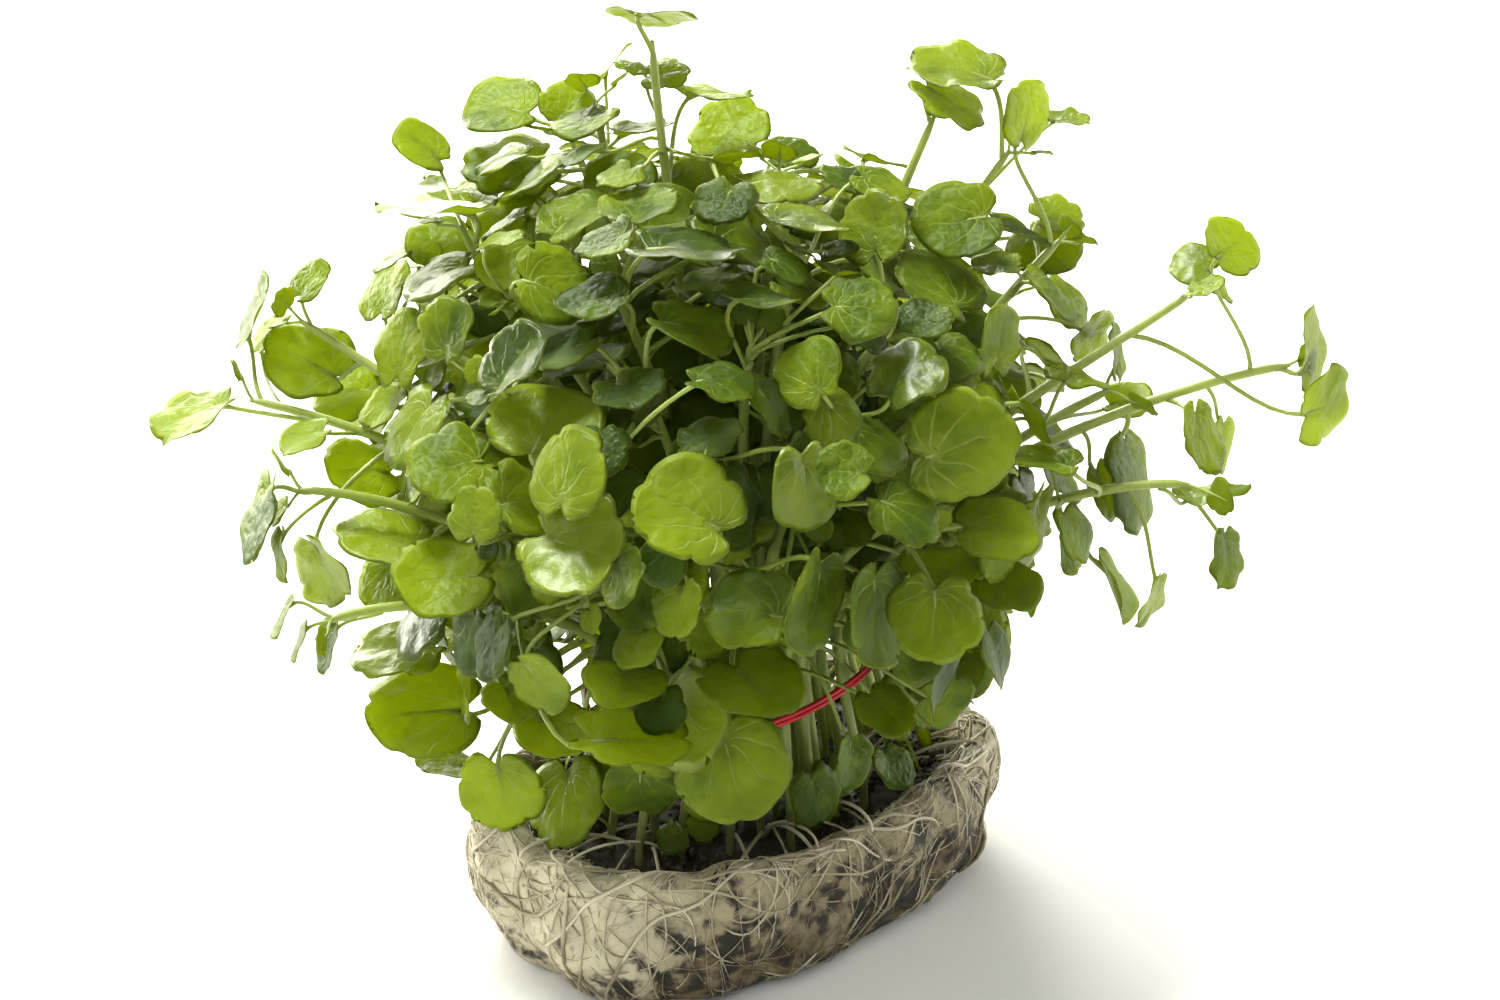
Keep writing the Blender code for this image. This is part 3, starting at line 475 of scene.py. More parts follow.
class Space:
    # what is already placed, for keeping new pieces clear of it
    def __init__(self):
        self.items = []

    def add(self, owner, kind, shape):
        tree, centre, bound = shape
        self.items.append((owner, kind, tree, centre, bound))

    def claim(self, leaf):
        self.add(leaf.owner, "blade", bladeShape(leaf, 0.0))
        self.add(leaf.owner, "stalk", stalkShape(leaf, 0.0))

    def isClear(self, shape, ignored, against=None):
        tree, centre, bound = shape
        for owner, kind, other, otherCentre, otherBound in self.items:
            if (owner, kind) in ignored or (against and kind not in against):
                continue
            if (centre - otherCentre).length > bound + otherBound:
                continue
            if tree.overlap(other):
                return False
        return True


def bounded(points, faces):
    centre = sum(points, Vector()) / len(points)
    bound = max((point - centre).length for point in points)
    return BVHTree.FromPolygons(points, faces), centre, bound


def ringFaces(rings, sides, turnOf=lambda ring: 0):
    # the faces between one ring of points and the next, which may start some sides further on
    faces = []
    for ring in range(rings - 1):
        here, above, turned = ring * sides, (ring + 1) * sides, turnOf(ring)
        for side in range(sides):
            after = (side + 1) % sides
            faces.append((here + side, here + after, above + (after + turned) % sides,
                          above + (side + turned) % sides))
    return faces


def tubeShape(path, radius):
    sides = 5
    points = []
    for index, point in enumerate(path):
        ahead = path[min(index + 1, len(path) - 1)] - path[max(index - 1, 0)]
        ahead.normalize()
        across = ahead.orthogonal().normalized()
        over = ahead.cross(across)
        for side in range(sides):
            angle = math.tau * side / sides
            points.append(point + (across * math.cos(angle) + over * math.sin(angle))
                          * (radius / math.cos(math.pi / sides)))

    def closestTurn(ring):
        first, above = points[ring * sides], points[(ring + 1) * sides:(ring + 2) * sides]
        lengths = [(point - first).length for point in above]
        return lengths.index(min(lengths))

    return bounded(points, ringFaces(len(path), sides, closestTurn))


def bladeShape(leaf, grow):
    half = blade["thickness"] / 2 + grow
    stretch = 1.0 + grow / leaf.radius
    margin = leaf.margin()
    count = len(margin)
    points = [leaf.centre + leaf.normal * half, leaf.centre - leaf.normal * half]
    for reach, turn in margin:
        rim = leaf.surface(reach * stretch, turn)
        points += [rim + leaf.normal * half, rim - leaf.normal * half]
    faces = []
    for index in range(count):
        this, after = 2 + 2 * index, 2 + 2 * ((index + 1) % count)
        faces += [(0, this, after), (1, after + 1, this + 1),
                  (this, this + 1, after + 1, after)]
    return bounded(points, faces)


def stalkShape(leaf, grow):
    points = [leaf.stalkPoint(share) for share in (0.15, 0.5, 0.97)]
    return tubeShape(points, blade["stalkRadius"] + grow)


def outlinePoint(share, height, ring, angle):
    # a point of the root mat's surface, which is lumpy above its flat floor
    near = clamp(ring - mat["floorRing"])
    lump = near * (0.012 * math.sin(3 * angle + 0.7) + 0.010 * math.sin(8 * angle + 0.9 * ring)
                   + 0.008 * math.sin(13 * angle + 1.7 * ring))
    height += near * 0.8 * math.sin(5 * angle + 0.8) * (1.0 if share > 0.82 else 0.3)
    cosine, sine = math.cos(angle), math.sin(angle)
    power = mat["squareness"]
    reach = (abs(cosine) ** power + abs(sine) ** power) ** (-1.0 / power)
    reach *= share * (1.0 + lump)
    return Vector((mat["halfLength"] * reach * cosine, mat["halfWidth"] * reach * sine, height))


def matShape():
    rings, sides = len(mat["profile"]), mat["sides"]
    points = [outlinePoint(*mat["profile"][ring], ring, math.tau * side / sides)
              for ring in range(rings) for side in range(sides)]
    return bounded(points, ringFaces(rings, sides))


def bandPoint(index, points):
    angle = math.tau * index / points
    across = band["halfLength"] * math.cos(angle)
    along = band["halfWidth"] * math.sin(angle)
    return Vector((across, along, band["height"] + band["tilt"] * across))


def placeStems(space, rng):
    placed, count = [], stems["count"]
    everyStem = []
    for index in range(count):
        reach, turn = math.sqrt((index + 0.5) / count), index * goldenAngle
        across, along = math.cos(turn), math.sin(turn)
        foot = (stems["footSpread"] * mat["halfLength"] * reach * across,
                stems["footSpread"] * mat["halfWidth"] * reach * along)
        waist = (stems["waistHalfLength"] * reach * across,
                 stems["waistHalfWidth"] * reach * along)
        lean = stems["leanMost"] * reach ** 0.9
        heading = Vector((math.sin(lean) * across, math.sin(lean) * along, math.cos(lean)))
        length = dome["radius"] * rng.uniform(*stems["lengths"])
        everyStem.append(Stem(foot, waist, dome["centre"] + heading * length, heading))
    free, led = list(everyStem), []
    for across, over, near, heading in longStems:
        tip = frontPoint(across, over, near)
        wanted = (tip - dome["centre"]).normalized()
        stem = max(free, key=lambda each: each.heading.dot(wanted))
        free.remove(stem)
        stem.tip = tip
        stem.heading = (viewDirection(right, up, heading) + wanted * 0.4).normalized()
        led.append(stem)
    for stem in led + free:
        if settleStem(stem, space, len(placed), rng):
            placed.append(stem)
    return placed


def settleStem(stem, space, owner, rng):
    firstTip, firstHeading = stem.tip.copy(), stem.heading.copy()
    for attempt in range(stems["attempts"]):
        shape = tubeShape(stem.path(stems["steps"]), stems["radius"] + blade["clearance"])
        if space.isClear(shape, ((-1, "mat"),)):
            space.add(owner, "stem", tubeShape(stem.path(stems["steps"]), stems["radius"]))
            return True
        wander = 0.02 + 0.008 * attempt
        turn = Matrix.Rotation(rng.uniform(-wander, wander) * 2, 3, "Z")
        tilt = Matrix.Rotation(rng.uniform(-wander, wander) * 2, 3, right)
        stem.tip = dome["centre"] + tilt @ (turn @ (firstTip - dome["centre"]))
        stem.heading = tilt @ (turn @ firstHeading)
    return False


def stalkChoices(leaf, allStems, shares, most):
    base, arrival = leaf.base(), leaf.arrival()
    choices = []
    for owner, stem in enumerate(allStems):
        for share in shares:
            if share in stem.used:
                continue
            start = stem.carrierPoint(share)
            reach = base - start
            length = reach.length
            if blade["stalkShortest"] < length < blade["stalkLongest"]:
                bend = 1.0 - reach.dot(arrival) / length
                cost = length + blade["bendCost"] * bend + blade["loadCost"] * stem.load
                choices.append((cost, owner, share, start))
    choices.sort(key=lambda choice: choice[:3])
    return choices[:most]


def hangLeaf(leaf, allStems, space, shares=blade["shares"], most=blade["choices"],
             clearance=blade["clearance"], against=None):
    if not space.isClear(bladeShape(leaf, clearance), ()):
        return False
    base, arrival = leaf.base(), leaf.arrival()
    for _cost, owner, share, start in stalkChoices(leaf, allStems, shares, most):
        stem = allStems[owner]
        reach = base - start
        along = (stem.crownPoint(min(share + 0.02, 1.0)) - stem.crownPoint(share - 0.02))
        leaving = (along.normalized() * 0.5 + reach.normalized()).normalized()
        leaf.stalk = (start, leaving * reach.length, base, arrival * (0.8 * reach.length))
        shape = stalkShape(leaf, clearance)
        if space.isClear(shape, ((owner, "stem"),), against):
            leaf.owner = owner
            stem.load += 1
            stem.used.append(share)
            space.claim(leaf)
            return True
    return False


def domeDepth(across, over):
    middle = dome["centre"] - aim
    offset = (across - middle.dot(right)) ** 2 + (over - middle.dot(up)) ** 2
    bulge = math.sqrt(max(0.0, dome["radius"] ** 2 - offset))
    return bulge * dome["frontShare"] + middle.dot(toward)


def frontLeaf(row, near, leafSeed):
    across, over, width, slant, share, heading, _deep = row
    centre = frontPoint(across, over, near)
    viewRight, viewUp, ahead = frontAxes(centre)
    rise = viewDirection(viewRight, viewUp, slant + 90)
    outward = (centre - dome["centre"]).normalized() + Vector((0, 0, 1))
    if rise.dot(outward) < 0:
        rise = -rise
    normal = ahead * share + rise * math.sqrt(1.0 - share * share)
    tip = viewDirection(viewRight, viewUp, heading)
    radius = width / 2.06 * (1.0 - near / view["range"])
    return Leaf(centre, normal, tip, radius, random.Random(leafSeed))


def placeFrontLeaves(allStems, space):
    leaves = []
    for number, row in enumerate(frontLeaves):
        depth = domeDepth(row[0], row[1]) - row[6]
        for shift in frontShifts:
            leaf = frontLeaf(row, depth + shift, seed * 1000 + number)
            if hangLeaf(leaf, allStems, space):
                leaves.append(leaf)
                break
    return leaves


def placeFillLeaves(allStems, space, leaves, rng):
    filled = []
    for number in range(fill["count"]):
        outward = spiralWay(number, fill["count"], fill["drop"])
        depth = rng.uniform(*fill["depths"])
        jitter = anyWay(rng)
        radius = rng.uniform(*fill["radii"])
        centre = dome["centre"] + outward * (dome["radius"] * depth)
        normal, tip = (mixedWay(outward, jitter, shares) for shares in fill["leans"])
        leafSeed = rng.random()
        if outward.dot(toward) > fill["facing"]:
            continue
        for shift in fill["shifts"]:
            leaf = Leaf(centre + outward * shift, normal, tip, radius, random.Random(leafSeed))
            apart = all((leaf.centre - other.centre).length > fill["spacing"]
                        for other in leaves + filled)
            if apart and hangLeaf(leaf, allStems, space):
                filled.append(leaf)
                break
    return filled


def layOut():
    rng = random.Random(seed)
    space = Space()
    bandPath = [bandPoint(index, band["points"]) for index in range(band["points"])]
    space.add(-1, "band", tubeShape(bandPath + bandPath[:2], band["radius"]))
    space.add(-1, "mat", matShape())
    allStems = placeStems(space, rng)
    leaves = placeFrontLeaves(allStems, space)
    leaves += placeFillLeaves(allStems, space, leaves, rng)
    return allStems, leaves, space


# Young leaves that fill the bunch between the solids' leaves

young = {
    # dome share, leaves, least and most radius, least height on the dome
    "shells": ((0.93, 260, 7.0, 11.0, -0.66), (0.80, 300, 7.5, 12.0, -0.78),
               (0.66, 280, 7.5, 12.0, -0.88), (0.50, 180, 7.0, 11.5, -0.86),
               (0.34, 100, 7.0, 11.0, -0.80)),
    # places along a stem where a stalk may start, how many of them are tried, and the gap
    "shares": tuple(round(0.033 + 0.025 * index, 3) for index in range(39)),
    "choices": 9, "clearance": 0.10,
    # outward moves that are tried, and how much smaller the leaf is then
    "tries": ((0.0, 1.0), (-4.0, 0.9), (4.0, 0.8), (-8.0, 0.7), (6.0, 0.62)),
    "shellTurn": 9.0, "frontFacing": 0.35,
    "leans": ((0.7, 0.6, 0.45), (1.0, -0.4, 0.8)),
    "lowLeans": ((0.8, 0.5, 0.4), (0.5, -0.6, 0.6)),
    "frontLayer": 0.88,  # dome share past which young leaves leave the front to the older ones
    "lowHalfLength": 36.0, "lowHalfWidth": 25.0,
    # between the band and the mat: leaves, heights, radii, spreads
    "low": ((110, 30.0, 56.0, 4.5, 9.0, 0.85, 1.38), (80, 28.0, 37.0, 2.4, 4.6, 0.55, 1.36)),
    "backingReach": 0.88, "backingTries": 4,
    # behind the front leaves: right and up from and to, steps, radii, depths
    "backing": ((-70.0, 46.0, -46.0, 54.0, 11.0, 8.0, 11.5, -3.0, 44.0),
                (-66.0, 48.0, -40.0, 60.0, 9.0, 6.0, 9.5, 40.0, 112.0)),
    "tipLeaves": 3,  # small ones round each stem's growing tip
    # open patches in the front view: right and up from and to, depth that stays open
    "openPatches": ((3.0, 26.0, -52.0, -32.0, 0.0), (-14.0, 28.0, 74.0, 90.0, -90.0),
                    (49.0, 64.0, -60.0, -14.0, -90.0), (-20.0, 10.0, 14.0, 36.0, 26.0),
                    (-41.0, -20.0, -32.0, -27.0, 22.0)),
}


def inOpenPatch(leaf):
    across, over, near = frontPlace(leaf.centre)
    for left, rightmost, low, high, depth in young["openPatches"]:
        reach = leaf.radius * (1.0 if depth > -1.0 else 0.3)
        if (left - reach < across < rightmost + reach and low - reach < over < high + reach
                and near > depth):
            return True
    return False


def hangYoung(leaf, allStems, space):
    return not inOpenPatch(leaf) and hangLeaf(
        leaf, allStems, space, young["shares"], young["choices"], young["clearance"],
        ("blade", "band", "mat"))


def placeYoungLeaves(allStems, space):
    rng = random.Random(seed + 1)
    found = []
    for share, count, least, most, lowest in young["shells"]:
        for number in range(count):
            outward = spiralWay(number, count, 1.0 - lowest, share * young["shellTurn"])
            jitter = anyWay(rng)
            radius = rng.uniform(least, most)
            depth = dome["radius"] * (share + rng.uniform(-0.05, 0.05))
            leafSeed = rng.random()
            normal, tip = (mixedWay(outward, jitter, shares) for shares in young["leans"])
            if share > young["frontLayer"] and outward.dot(toward) > young["frontFacing"]:
                continue
            for shift, shrink in young["tries"]:
                centre = dome["centre"] + outward * (depth + shift) + jitter * 2.0
                leaf = Leaf(centre, normal, tip, radius * shrink, random.Random(leafSeed))
                if hangYoung(leaf, allStems, space):
                    found.append(leaf)
                    break
    return found


def placeLowLeaves(allStems, space):
    rng = random.Random(seed + 2)
    found = []
    for count, lowest, highest, least, most, inner, outer in young["low"]:
        for number in range(count):
            turn = number * goldenAngle
            height = lowest + (highest - lowest) * ((number * 0.618) % 1.0)
            spread = rng.uniform(inner, outer)
            outward = Vector((math.cos(turn), math.sin(turn), 0.0))
            centre = Vector((young["lowHalfLength"] * spread * math.cos(turn),
                             young["lowHalfWidth"] * spread * math.sin(turn), height))
            jitter = anyWay(rng)
            normal, tip = (mixedWay(outward, jitter, shares) for shares in young["lowLeans"])
            leaf = Leaf(centre, normal, tip, rng.uniform(least, most),
                        random.Random(rng.random()))
            if inOpenPatch(leaf) or not space.isClear(bladeShape(leaf, 0.2), ()):
                continue
            if hangLow(leaf, allStems, space, rng):
                found.append(leaf)
    return found


def hangLow(leaf, allStems, space, rng):
    below = leaf.centre.z - 8.0
    owner = min(range(len(allStems)), key=lambda each: (
        Vector((*allStems[each].waist, below)) - leaf.centre).length
        + 3.0 * allStems[each].load)
    stem = allStems[owner]
    foot = Vector((*stem.foot, stems["footStraight"]))
    waist = Vector((*stem.waist, stems["waistBottom"]))
    share = clamp((below - foot.z) / (waist.z - foot.z), 0.0, 0.6) + rng.uniform(0.0, 0.1)
    start = foot.lerp(waist, share)
    reach = leaf.base() - start
    leaf.stalk = (start, (Vector((0, 0, 0.6)) + reach.normalized()) * reach.length * 0.7,
                  leaf.base(), leaf.arrival() * (0.7 * reach.length))
    if not space.isClear(stalkShape(leaf, 0.0), ((owner, "stem"), (-1, "mat"))):
        return False
    leaf.owner = owner
    stem.load += 1
    space.claim(leaf)
    return True


def placeBackingLeaves(allStems, space):
    rng = random.Random(seed + 7)
    found = []
    for left, rightmost, low, high, step, least, most, nearest, furthest in young["backing"]:
        for row in range(int((high - low) / step) + 1):
            for column in range(int((rightmost - left) / step) + 1):
                across = left + step * column + rng.uniform(-4, 4)
                over = low + step * row + rng.uniform(-4, 4)
                width = 2.0 * rng.uniform(least, most)
                for _attempt in range(young["backingTries"]):
                    entry = (across, over, width, rng.uniform(-90, 90), rng.uniform(0.5, 0.95),
                             rng.uniform(0, 360), rng.uniform(nearest, furthest))
                    leaf = frontLeaf(entry, domeDepth(across, over) - entry[6], rng.random())
                    away = (leaf.centre - dome["centre"]).length / dome["radius"]
                    if away <= young["backingReach"] and hangYoung(leaf, allStems, space):
                        found.append(leaf)
                        break
    return found


def placeTipLeaves(allStems, space):
    rng = random.Random(seed + 3)
    found = []
    for owner, stem in enumerate(allStems):
        across = stem.heading.orthogonal().normalized()
        over = stem.heading.cross(across)
        for number in range(young["tipLeaves"]):
            turn = math.tau * number / young["tipLeaves"] + rng.uniform(0, 1.5)
            away = across * math.cos(turn) + over * math.sin(turn)
            radius = rng.uniform(2.2, 3.8)
            ahead = (stem.heading * rng.uniform(0.5, 1.1) + away).normalized()
            centre = stem.tip + ahead * (radius + rng.uniform(2.0, 4.0))
            normal = stem.heading - ahead * stem.heading.dot(ahead) * 0.6 - away * 0.2
            leaf = Leaf(centre, normal, ahead, radius, random.Random(rng.random()))
            if not space.isClear(bladeShape(leaf, 0.1), ()):
                continue
            leaf.owner = owner
            start = stem.crownPoint(0.985)
            reach = leaf.base() - start
            leaf.stalk = (start, stem.heading * reach.length * 0.6, leaf.base(),
                          leaf.tip * reach.length * 0.6)
            space.add(owner, "blade", bladeShape(leaf, 0.0))
            found.append(leaf)
    return found


# Leafy stems: one template blade, bent and lobed leaf by leaf by geometry nodes

# how light a leaf is, partly its own tone and partly painted light and shade, such as painted shade
# in the hollow at -14, 28 and under the leaves at -2, -38, and painted backlight on the left at
# -75, 5: right, up and reach in the front view, least and most tone
tonesWithPaintedLight = (
    (-12.4, -2.4, 5.0, 0.85, 1.0), (-36.0, 5.0, 5.0, 0.85, 1.0), (-35.0, -10.0, 5.0, 0.75, 0.9),
    (42.0, 10.6, 6.0, 0.75, 0.85), (-3.6, -53.6, 6.0, 0.65, 0.75), (-24.0, -48.2, 5.0, 0.8, 0.9),
    (-42.0, -60.0, 12.0, 0.6, 0.8), (37.0, -23.4, 5.0, 0.5, 0.6), (-64.6, -42.4, 6.0, 0.45, 0.55),
    (-14.0, 28.0, 25.0, 0.0, 0.35), (-2.0, -38.0, 11.0, 0.05, 0.25), (20.0, -23.0, 11.0, 0.1, 0.4),
    (42.0, 55.0, 16.0, 0.1, 0.45), (-75.0, 5.0, 22.0, 0.55, 1.0), (-45.0, 75.0, 26.0, 0.35, 0.7),
    (-20.0, 60.0, 16.0, 0.15, 0.6), (30.0, -52.0, 22.0, 0.1, 0.45), (36.0, 40.0, 30.0, 0.05, 0.6),
)

# right and up of the old glossy leaves that shine silver against the window; being made old also
# lightens their green, a painted sheen
shiny = (
    (-12.6, 50.2), (11.0, 55.6), (5.2, 63.8), (-62.6, 57.8), (-58.8, 61.6), (42.0, 85.8),
    (39.6, 80.0), (88.6, 47.2), (31.2, 25.4), (-73.0, -8.0), (-70.0, -29.6), (-35.0, -9.6),
    (25.0, 54.0), (61.4, 56.6),
)

leafLook = {
    # what the geometry nodes are given
    "inputs": {"Thickness": 0.34 * mm, "Lobe depth": 0.13, "Notch depth": 0.34, "Ripple": 0.05,
               "Puckers": 0.20, "Funnel": 0.09, "Stem sides": 6},
    # each template blade's name, rings and sectors
    "templates": {"Fine blade": ("fineBlade", 7, 52), "Plain blade": ("plainBlade", 4, 36)},
    "edgeThinning": 0.8, "notchWidth": 0.20, "stalkEnd": 0.60, "stemFoot": 0.85,
    # innerShadeTone, innerReach and innerFade darken the leaves deep in the bunch: painted shade
    "stemMiddle": 1.15, "innerShadeTone": 0.15, "innerReach": 0.50, "innerFade": 0.30,
    "tonedDepth": -30.0, "shinyReach": 2.5, "mapHalf": 0.46, "lobeCounts": (3, 4, 5, 6),
    # steps of a stem below and above the waist, and of a plain and a fine leaf's stalk
    "lowSteps": 9, "crownSteps": 22, "stalkSteps": (5, 10),
    # where the stalk goes on under the blade: reach, turn, share of the stalk's radius
    "midrib": ((0.28, math.pi, 0.55), (0.20, 0.0, 0.34), (0.66, 0.0, 0.12)), "midribDrop": 0.22,
}

# a leaf's own values that the geometry nodes read, each as a layer such as leafCup
leafNumbers = ("radius", "cup", "fold", "wave", "phase", "lobes", "oval")
leafVectors = ("centre", "tip", "side", "normal")


def layerName(name):
    return "leaf" + name.capitalize()


def bladeTemplate(name, rings, sectors):
    # closed thin blade, whose nodes read each vertex's reach, turn and face
    reach, turn, face, faces = [0.0, 0.0], [0.0, 0.0], [1.0, -1.0], []
    for ring in range(1, rings + 1):
        for side in ((1.0, -1.0) if ring < rings else (0.0,)):
            for sector in range(sectors):
                reach.append((ring / rings) ** 0.9)
                turn.append(-math.pi + math.tau * sector / sectors)
                face.append(side)

    def spot(ring, side, sector):
        sector %= sectors
        if ring == rings:
            return 2 + 2 * sectors * (rings - 1) + sector
        return 2 + 2 * sectors * (ring - 1) + side * sectors + sector

    for sector in range(sectors):
        faces.append((0, spot(1, 0, sector), spot(1, 0, sector + 1)))
        faces.append((1, spot(1, 1, sector + 1), spot(1, 1, sector)))
        for ring in range(1, rings):
            faces.append((spot(ring, 0, sector), spot(ring + 1, 0, sector),
                          spot(ring + 1, 0, sector + 1), spot(ring, 0, sector + 1)))
            faces.append((spot(ring, 1, sector + 1), spot(ring + 1, 1, sector + 1),
                          spot(ring + 1, 1, sector), spot(ring, 1, sector)))
    points = [(r * math.cos(t), r * math.sin(t), 0.0) for r, t in zip(reach, turn)]
    mesh = addMesh(name, points, [], faces)
    for label, values in (("reach", reach), ("turn", turn), ("face", face)):
        addLayer(mesh, label, "FLOAT", values)
    addLayer(mesh, "isBlade", "BOOLEAN", [True] * len(points))
    plan = mesh.uv_layers.new(name="bladeMap")
    half = leafLook["mapHalf"]
    for loop in mesh.loops:
        x, y, _z = points[loop.vertex_index]
        plan.data[loop.index].uv = (0.5 + half * y, 0.5 + half * x)
    return addObject(name, mesh)


def newTree(name, sockets):
    # a geometry node tree with named inputs, and where each input is set
    tree = bpy.data.node_groups.new(name, "GeometryNodeTree")
    tree.interface.new_socket(name="Geometry", in_out="OUTPUT", socket_type="NodeSocketGeometry")
    where = {}
    for label, kind in {"Geometry": "Geometry", **sockets}.items():
        made = tree.interface.new_socket(name=label, in_out="INPUT",
                                         socket_type="NodeSocket" + kind)
        where[label] = made.identifier
    sheet = Sheet(tree)
    start = tree.nodes.new("NodeGroupInput")
    given = {label: Wire(sheet, start.outputs[label]) for label in where}
    return sheet, given, where


def tubesAlong(sheet, lines, sides):
    # round tubes along the lines, as thick as each point says
    curves = sheet.add("GeometryNodeMeshToCurve", {}, {"Mesh": lines})
    ring = sheet.add("GeometryNodeCurvePrimitiveCircle", {},
                     {"Resolution": sides, "Radius": 1.0})
    return sheet.add("GeometryNodeCurveToMesh", {}, {
        "Curve": curves, "Profile Curve": ring, "Scale": sheet.named("thickness"),
        "Fill Caps": True})


def endTree(sheet, pieces, finish, bladeFinish=None):
    # the pieces, smooth and made real, in one finish, and blades in their own
    smooth = sheet.add("GeometryNodeSetShadeSmooth", {}, {"Geometry": pieces})
    real = sheet.add("GeometryNodeRealizeInstances", {}, {"Geometry": smooth})
    done = sheet.add("GeometryNodeSetMaterial", {}, {"Geometry": real, "Material": finish})
    if bladeFinish:
        done = sheet.add("GeometryNodeSetMaterial", {}, {
            "Geometry": done, "Selection": sheet.named("isBlade", "BOOLEAN"),
            "Material": bladeFinish})
    sheet.add("NodeGroupOutput", {}, {"Geometry": done}, None)


def leafyStemTree():
    kinds = {label: "Int" if isinstance(value, int) else "Float"
             for label, value in leafLook["inputs"].items()}
    sheet, given, where = newTree("leafyStem", {
        "Fine blade": "Object", "Plain blade": "Object", **kinds,
        "Leaf material": "Material", "Stem material": "Material"})
    split = sheet.add("GeometryNodeSeparateGeometry", {"domain": "POINT"}, {
        "Geometry": given["Geometry"], "Selection": sheet.named("isLeaf", "BOOLEAN")})
    lines = Wire(sheet, split.socket.node.outputs["Inverted"])
    tubes = tubesAlong(sheet, lines, given["Stem sides"])
    isFine = sheet.named("isFine", "BOOLEAN")
    isPlain = sheet.add("FunctionNodeBooleanMath", {"operation": "NOT"}, {0: isFine})
    placed = []
    for template, chosen in (("Fine blade", isFine), ("Plain blade", isPlain)):
        shape = sheet.add("GeometryNodeObjectInfo", {}, {"Object": given[template]}, "Geometry")
        placed.append(sheet.add("GeometryNodeInstanceOnPoints", {}, {
            "Points": split, "Selection": chosen, "Instance": shape}))
    both = sheet.add("GeometryNodeJoinGeometry", {}, {"Geometry": placed})
    real = sheet.add("GeometryNodeRealizeInstances", {}, {"Geometry": both})
    blades = sheet.add("GeometryNodeSetPosition", {}, {
        "Geometry": real, "Position": bladePosition(sheet, given)})
    whole = sheet.add("GeometryNodeJoinGeometry", {}, {"Geometry": [tubes, blades]})
    endTree(sheet, whole, given["Stem material"], given["Leaf material"])
    return sheet.tree, where


def bladePosition(sheet, given):
    # where each point of a blade goes: the margin's lobes, the face's waves, then its place
    reach, turn, face, radius, phase, lobes = (sheet.named(each) for each in (
        "reach", "turn", "face", "leafRadius", "leafPhase", "leafLobes"))
    sine, cosine = sheet.maths("SINE", turn), sheet.maths("COSINE", turn)
    uneven = turn + sheet.maths("SINE", turn + phase) * 0.35
    beat = sheet.maths("ABSOLUTE", sheet.maths("SINE", uneven * lobes * 0.5 + phase))
    dips = (1.0 - beat) ** 3.2
    lopsided = (sheet.maths("COSINE", turn * 3.0 + phase * 2.3) * 0.030
                + sheet.maths("COSINE", turn * 5.0 + phase * 1.7) * 0.014)
    fromNotch = (math.pi - sheet.maths("ABSOLUTE", turn)) / leafLook["notchWidth"]
    notch = sheet.maths("EXPONENT", fromNotch * fromNotch * -1.0)
    margin = (1.04 + sheet.maths("ABSOLUTE", sine) * 0.02 - dips * given["Lobe depth"] + lopsided
              + sheet.named("leafOval") * sheet.maths("COSINE", turn * 2.0)
              - notch * given["Notch depth"])
    out = reach * margin
    square = out * out
    x, y = out * cosine, out * sine
    fromStalk = (x + leafLook["stalkEnd"]) * (x + leafLook["stalkEnd"]) + y * y
    funnel = sheet.maths("EXPONENT", fromStalk * -14.0)
    puckerPlace = sheet.join(x * 1.9 + phase * 7.0, y * 1.9, sheet.named("leafTone") * 30.0)
    pucker = sheet.noise(puckerPlace, 1.0, 2.0, 0.45) - 0.5
    rise = (sheet.named("leafCup") * square
            + sheet.named("leafFold") * out * sheet.maths("SQRT", sine * sine + 0.006)
            + sheet.named("leafWave") * square * sheet.maths("COSINE", turn * 2.0 + phase)
            + given["Ripple"] * square * square * sheet.maths("COSINE", turn * lobes + phase)
            + given["Puckers"] * pucker * sheet.fade(out, 0.0, 0.5)
            - funnel * given["Funnel"])
    thick = face * given["Thickness"] * 0.5 * (1.0 - (reach ** 4.0) * leafLook["edgeThinning"])
    height = radius * rise + thick
    place = sheet.named("leafCentre", "FLOAT_VECTOR")
    for label, amount in (("leafTip", radius * x), ("leafSide", radius * y),
                          ("leafNormal", height)):
        place = sheet.vector("ADD", place,
                             sheet.scaled(sheet.named(label, "FLOAT_VECTOR"), amount))
    return place


def runTree(name, mesh, tree, where, values):
    # the tree's result as a plain mesh object at the origin
    thing = addObject(name, mesh)
    grower = thing.modifiers.new("grow", "NODES")
    grower.node_group = tree
    for label, value in values.items():
        grower[where[label]] = value
    depsgraph = bpy.context.evaluated_depsgraph_get()
    made = bpy.data.meshes.new_from_object(thing.evaluated_get(depsgraph),
                                           preserve_all_data_layers=True, depsgraph=depsgraph)
    thing.modifiers.remove(grower)
    thing.data = made
    made.name = name
    return thing


